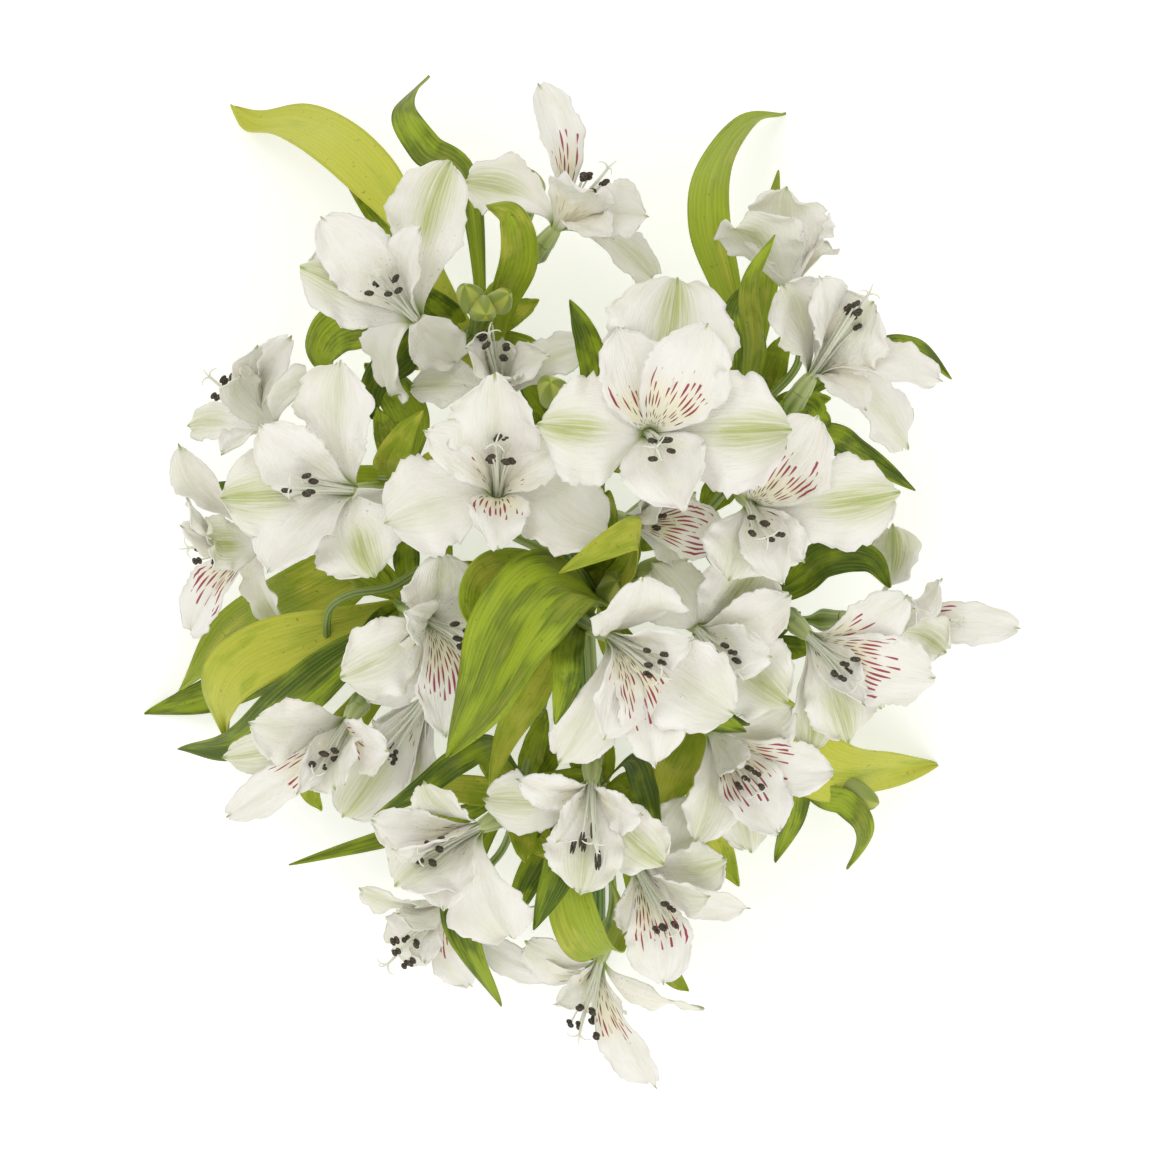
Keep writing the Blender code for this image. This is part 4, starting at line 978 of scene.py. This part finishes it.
def petal_skin(name, front):
    """A tepal's skin. The front carries the dashes, and the back more of the green veins."""
    made, tree = material(name)
    across, along = blade_shares(tree)
    width = tree.attribute("width")
    length = tree.attribute("length")
    seed = tree.attribute("seed")
    inner = tree.attribute("kind")
    paint = tree.attribute("paint")
    from_middle = abs(across)
    off = across * width

    # White, with soft clouds that are a little warmer, cooler or rosier.
    soft = tree.cloud(tree.spot(across * 1.4, along * 2.6, seed), 1.2)
    skin = tree.tint(PETAL_WHITE, PETAL_COOL, soft.rise(0.35, 0.8))
    rose = tree.cloud(tree.spot(across, along * 1.7, seed + 31), 1.1)
    skin = tree.tint(skin, PETAL_ROSE, rose.rise(0.52, 0.8) * along.rise(0.2, 0.7) * 0.45)

    # Fine veins run from claw to tip, and the brush of green lies over the middle of the outer ones.
    veins = tree.math("SINE", off * 3.6) * 0.5 + 0.5
    thread = tree.cloud(tree.spot(off, along * 3.0, seed), 0.9)
    skin = tree.tint(skin, VEIN_GREY, veins * thread.rise(0.35, 0.8) * (0.08 if front else 0.16))
    brush_side = tree.math("EXPONENT", 0 - (off / BRUSH_WIDTH * (1.5 - along)) ** 2)
    brush_along = along.rise(0.34, 0.70) * (1 - along.rise(0.9, 1.05) * 0.4)
    brush = brush_side * brush_along * (thread.rise(0.2, 0.75) * 0.75 + 0.25) * (1 - inner) * paint
    skin = tree.tint(skin, BRUSH_GREEN, tree.math("MINIMUM", brush * 1.15, 0.92))
    keel = (1 - abs(off).rise(0.3, 3.5)) * along.rise(0.5, 0.9) * (1 - inner)
    skin = tree.tint(skin, KEEL_GREEN, keel * paint * thread * 0.55)
    horn = along.rise(0.955, 0.99) * (1 - abs(off).rise(1.0, 2.4))
    skin = tree.tint(skin, KEEL_GREEN, horn * 0.8)

    # Green yellow at the claw, and a warm cream ground under the dashes.
    skin = tree.tint(skin, CLAW_GREEN, 1 - along.rise(0.02, 0.22))
    cream = along.rise(0.08, 0.28) * (1 - along.rise(0.42, 0.66)) * (1 - from_middle.rise(0.5, 1.0))
    skin = tree.tint(skin, CREAM, cream * inner * tree.math("MINIMUM", paint, 1.0) * 0.55)

    # The dashes lie in lanes that follow the veins. They are short and brown near the throat, and
    # long and crimson further out, and no two lanes are alike.
    lane_spot = off / (2 * LANE_WIDTH) + tree.math("FLOOR", seed)
    lane = tree.math("FLOOR", lane_spot)
    in_lane = tree.math("FRACT", lane_spot) - 0.5
    lane_draw = tree.chance(tree.spot(lane, 3.5))
    row_spot = tree.math("LOGARITHM", along * DASH_SPREAD + 1, math.e) * length / DASH_PITCH + lane_draw * 3
    row = tree.math("FLOOR", row_spot)
    in_row = tree.math("FRACT", row_spot) - 0.5
    draw = tree.chance(tree.spot(lane, row))
    slip = tree.chance(tree.spot(row + 0.7, lane + 9.3))
    ending = along + lane_draw * 0.16 - (paint - 1) * 0.3
    reach = along.rise(0.09, 0.16) * (1 - ending.rise(0.60, 0.76))
    edge_free = 1 - from_middle.rise(0.72, 0.95)
    there = (reach * edge_free * paint * 0.82 - draw).rise(0.0, 0.08)
    slim = 0.16 + 0.10 * slip + 0.08 * along
    long_part = 0.26 + along.rise(0.15, 0.5) * 0.24 + (slip - 0.5) * 0.1
    wide = abs(in_lane + (slip - 0.5) * 0.3) / slim
    tall = in_row / long_part
    blot = 1 - (wide + tall * tall * 0.9).rise(0.68, 1.0)
    dash_color = tree.tint(DASH_BROWN, DASH_CRIMSON, (along + (draw - 0.5) * 0.1).rise(0.26, 0.50))
    strength = 0.94 if front else 0.28
    skin = tree.tint(skin, dash_color, blot * there * inner * strength)

    # A little brown pollen is dusted over the middle of some blooms.
    dust = tree.cloud(tree.node("TexCoord", output="Object"), 1500.0, 1.0).rise(0.70, 0.74)
    dusty = along.rise(0.1, 0.2) * (1 - along.rise(0.4, 0.8))
    some = tree.math("FRACT", seed * 7.3).rise(0.4, 0.8)
    skin = tree.tint(skin, POLLEN, dust * dusty * some * 0.6)

    crinkle = tree.cloud(tree.spot(off * 0.35, along * 9.0, seed), 1.0)
    height = veins * 0.15 + thread * 0.7 + crinkle * 3.0
    bump = tree.node("Bump", {}, {"Height": height, "Strength": 0.4, "Distance": 0.0005})
    surface(made, tree, {"Base Color": skin, "Roughness": 0.5, "Normal": bump, "Specular IOR Level": 0.3})
    return made


PETAL_WHITE = (0.90, 0.88, 0.83)
PETAL_COOL = (0.83, 0.82, 0.70)
PETAL_ROSE = (0.87, 0.80, 0.785)
VEIN_GREY = (0.50, 0.52, 0.36)
BRUSH_WIDTH = 7.5
POLLEN = (0.20, 0.13, 0.06)
BRUSH_GREEN = (0.49, 0.54, 0.19)
KEEL_GREEN = (0.27, 0.36, 0.06)
CLAW_GREEN = (0.44, 0.52, 0.18)
CREAM = (0.86, 0.80, 0.50)
DASH_BROWN = (0.10, 0.03, 0.02)
DASH_CRIMSON = (0.33, 0.012, 0.05)
LANE_WIDTH = 1.45
DASH_SPREAD = 7.5
DASH_PITCH = 9.5
petal_front = petal_skin("petal_front", True)
petal_back = petal_skin("petal_back", False)

for number, tepals in TEPALS.items():
    throat, axis = seated(number)
    draw = random.Random(100 + number)
    blades = Blades()
    for row, (kind, (x, y, rise, width, paint)) in enumerate(zip(ORDER, tepals)):
        tip = place(x, y, SEATS[number][1][2] + rise)
        shaped = tepal_blade(throat, axis, tip, width, kind, TURNS.get((number, row), 0), draw)
        blades.add(shaped, TEPAL_ROWS, TEPAL_COLUMNS, ROW_EASE, {
            "width": width, "length": (tip - throat).length, "seed": draw.uniform(0, 90),
            "kind": KINDS[kind]["kind"], "paint": paint})
    petals = blades.piece(f"petals_{number}", TEPAL_THICKNESS, [petal_back, petal_front])
    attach(petals, "root")
    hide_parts(f"bloom_{number}")


# The short green tube under each throat, from which the six claws grow. It is ribbed like the ovary
# that it stands on, narrows towards the throat and turns paler there.

TUBE_RADIUS = 3.8
# The tube's dark green is painted shade in the grooves between its ribs.
TUBE_LIGHT = (0.36, 0.46, 0.12)
TUBE_GROOVE_SHADE = (0.16, 0.26, 0.05)

# How far above the throat, the radius there as a share of TUBE_RADIUS, and how pale it is.
TUBE_FORM = [
    (-TUBE_DEPTH, 0.72, 0.3), (-6.4, 0.66, 0.4), (-4.6, 0.60, 0.5), (-2.8, 0.52, 0.6),
    (-1.2, 0.40, 0.7), (-0.2, 0.28, 0.8), (0.3, 0.15, 0.9),
]
tube_rows = []
for number in SEATS:
    throat, axis = seated(number)
    points = [throat + axis * height for height, _, _ in TUBE_FORM]
    thick = [TUBE_RADIUS * share for _, share, _ in TUBE_FORM]
    tube_rows.append((points, thick, [pale for _, _, pale in TUBE_FORM]))
tube_skin = green_skin("tube_skin", TUBE_LIGHT, TUBE_GROOVE_SHADE, 0.4)
tubes = grown("throat_tubes", stalk_lines("tube_lines", tube_rows), stalk_tree,
              {"Sides": 36, "Ribs": 6.0, "Rib Depth": 0.07, "Material": tube_skin})
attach(tubes, "root")


# The stamens: six slim white filaments in each bloom, which bend apart, each with a dark two-lobed
# anther on its tip. Beside them stands the white style with its three curled branches.

FILAMENTS = 6
FILAMENT_RADIUS = 0.36
FILAMENT_STEPS = 14
FILAMENT_WHITE = (0.84, 0.85, 0.78)
FILAMENT_GREEN = (0.72, 0.74, 0.58)
ANTHER_LENGTH = 2.45
ANTHER_DARK = (0.035, 0.026, 0.018)
ANTHER_DUST = (0.16, 0.13, 0.09)
LOBE_WIDTH = 0.62
LOBE_OFFSET = 0.26
STAMEN_REACH = 21.0
STYLE_REACH = 25.0
BRANCHES = 3
BRANCH_STEPS = 10

# The young bloom, whose anthers are still long, slim and closed, how long they are beside an open
# one, and the blooms whose stamens reach further or less far.
YOUNG_BLOOM = 22
UNOPENED = 2.0
SURELY_CLOSED = 1.5
SLIMMER = -0.45
REACH_SHARES = {4: 1.3, 18: 0.45}

stamen_tree, sizes, node = growth("stamen", {
    "Anther Length": "Float", "Sides": "Int", "Seed": "Int",
    "Filament Material": "Material", "Anther Material": "Material"})
ring = node("GeometryNodeCurvePrimitiveCircle", {}, {"Resolution": sizes["Sides"], "Radius": MM})
lines, soft = sweep(node, sizes, ring)
thread = node("GeometryNodeSetMaterial", {}, {"Geometry": soft, "Material": sizes["Filament Material"]})
ball = node("GeometryNodeMeshUVSphere", {}, {"Segments": 14, "Rings": 10, "Radius": MM / 2})
lobes = node("GeometryNodeJoinGeometry")
for offset in (-LOBE_OFFSET, LOBE_OFFSET):
    lobe = node("GeometryNodeTransform", {}, {"Geometry": ball, "Translation": (offset * MM, 0.0, 0.0),
                                              "Scale": (LOBE_WIDTH, LOBE_WIDTH, 1.0)})
    stamen_tree.links.new(lobe, lobes.node.inputs[0])
soft_lobes = node("GeometryNodeSetShadeSmooth", {}, {"Geometry": lobes})
dark = node("GeometryNodeSetMaterial", {}, {"Geometry": soft_lobes, "Material": sizes["Anther Material"]})
tip = node("GeometryNodeInputNamedAttribute", {}, {"Name": "tip"})
long_lobes = node("ShaderNodeMath", {"operation": "MULTIPLY"}, {0: sizes["Anther Length"], 1: tip})
closed = node("ShaderNodeMath", {"operation": "GREATER_THAN"}, {0: tip, 1: SURELY_CLOSED})
slim = node("ShaderNodeMath", {"operation": "MULTIPLY_ADD"}, {0: closed, 1: SLIMMER, 2: 1.0})
thick_lobes = node("ShaderNodeMath", {"operation": "MULTIPLY"}, {0: sizes["Anther Length"], 1: slim})
anther_size = node("ShaderNodeCombineXYZ", {}, {"X": thick_lobes, "Y": thick_lobes, "Z": long_lobes})
tangent = node("GeometryNodeInputTangent")
upright = node("FunctionNodeAlignRotationToVector", {"axis": "X"}, {"Vector": tangent})
spins = {2: -0.9, 3: 0.9, "Seed": sizes["Seed"]}
spin = node("FunctionNodeRandomValue", {"data_type": "FLOAT"}, spins, output=1)
spun = node("FunctionNodeAxisAngleToRotation", {}, {"Axis": (0.3, 1.0, 0.2), "Angle": spin})
turned = node("FunctionNodeRotateRotation", {}, {"Rotation": upright, "Rotate By": spun})
lengthwise = node("FunctionNodeAlignRotationToVector", {"axis": "Z"}, {"Vector": tangent})
ways = {"Switch": closed, "False": turned, "True": lengthwise}
lying = node("GeometryNodeSwitch", {"input_type": "ROTATION"}, ways)
anthers = node("GeometryNodeInstanceOnPoints", {}, {"Points": lines, "Selection": tip, "Instance": dark,
                                                    "Rotation": lying, "Scale": anther_size})
both = node("GeometryNodeJoinGeometry")
stamen_tree.links.new(thread, both.node.inputs[0])
stamen_tree.links.new(anthers, both.node.inputs[0])
real = node("GeometryNodeRealizeInstances", {}, {"Geometry": both})
node("NodeGroupOutput", {}, {"Geometry": real})

filament_skin, tree = material("filament_skin")
white = tree.tint(FILAMENT_GREEN, FILAMENT_WHITE, tree.cloud(tree.node("TexCoord", output="Object"), 500.0))
surface(filament_skin, tree, {"Base Color": white, "Roughness": 0.4})
anther_skin, tree = material("anther_skin")
grain = tree.cloud(tree.node("TexCoord", output="Object"), 2600.0, 4.0)
bump = tree.node("Bump", {}, {"Height": grain, "Strength": 0.6, "Distance": 0.0003})
dusted = tree.tint(ANTHER_DARK, ANTHER_DUST, grain.rise(0.4, 0.75))
surface(anther_skin, tree, {"Base Color": dusted, "Roughness": 0.85, "Normal": bump})

filaments = []
thickness = []
tips = []
along_filament = [i / FILAMENT_STEPS for i in range(FILAMENT_STEPS + 1)]
draw = random.Random(7)
for number in SEATS:
    throat, axis = seated(number)
    aside = axis.cross(Vector((0, 0, 1))).normalized()
    upward = aside.cross(axis)
    young = number == YOUNG_BLOOM
    reach_share = REACH_SHARES.get(number, 1.0)
    for k in range(FILAMENTS):
        angle = 1.047 * k + draw.uniform(-0.3, 0.3)
        outward = aside * math.cos(angle) + upward * math.sin(angle)
        reach = STAMEN_REACH * draw.uniform(0.72, 1.08) * reach_share
        spread = draw.uniform(2.0, 4.6)
        sag = -upward * draw.uniform(1.0, 3.2) * (3 if young else 1)
        low = throat - axis * 1.0 + outward * 0.9
        high = throat + axis * reach + outward * spread + sag
        first = throat + axis * reach * 0.4 + outward * 1.0 - upward * 1.5
        second = throat + axis * reach * 0.75 + outward * spread * 0.7 + sag * (0.3 if young else 1.5)
        filaments.append([bezier(low, first, second, high, s) for s in along_filament])
        thickness.append([FILAMENT_RADIUS * (1.25 - 0.6 * s) for s in along_filament])
        opened = UNOPENED if young else draw.uniform(0.85, 1.15)

        # An old anther has dropped off in every other bloom.
        bare = k == FILAMENTS - 1 and number % 2
        tips.append([0.0] * FILAMENT_STEPS + [0.0 if bare else opened])
    lean = upward * draw.uniform(-2.5, 0.5) + aside * draw.uniform(-2, 2)
    high = throat + axis * STYLE_REACH * reach_share + lean
    first = throat + axis * 9
    second = high - axis * 8 - upward * 1.5
    filaments.append([bezier(throat, first, second, high, s) for s in along_filament])
    thickness.append([FILAMENT_RADIUS * 1.2] * len(along_filament))
    tips.append([0.0] * len(along_filament))
    for k in range(BRANCHES):
        angle = 2.094 * k + draw.uniform(0, 1)
        outward = aside * math.cos(angle) + upward * math.sin(angle)
        branch = [high, high + axis * 1.2 + outward * 0.5, high + axis * 2.0 + outward * 1.6,
                  high + axis * 2.1 + outward * 2.8, high + axis * 1.6 + outward * 3.6]
        filaments.append([through(branch, i / BRANCH_STEPS) for i in range(BRANCH_STEPS + 1)])
        thickness.append([FILAMENT_RADIUS * (0.9 - 0.05 * i) for i in range(BRANCH_STEPS + 1)])
        tips.append([0.0] * (BRANCH_STEPS + 1))
lines = paths_mesh("filament_lines", filaments, {"thick": thickness, "tip": tips})
stamens = grown("stamens", lines, stamen_tree, {
    "Anther Length": ANTHER_LENGTH, "Sides": 8, "Seed": 5,
    "Filament Material": filament_skin, "Anther Material": anther_skin})
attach(stamens, "root")
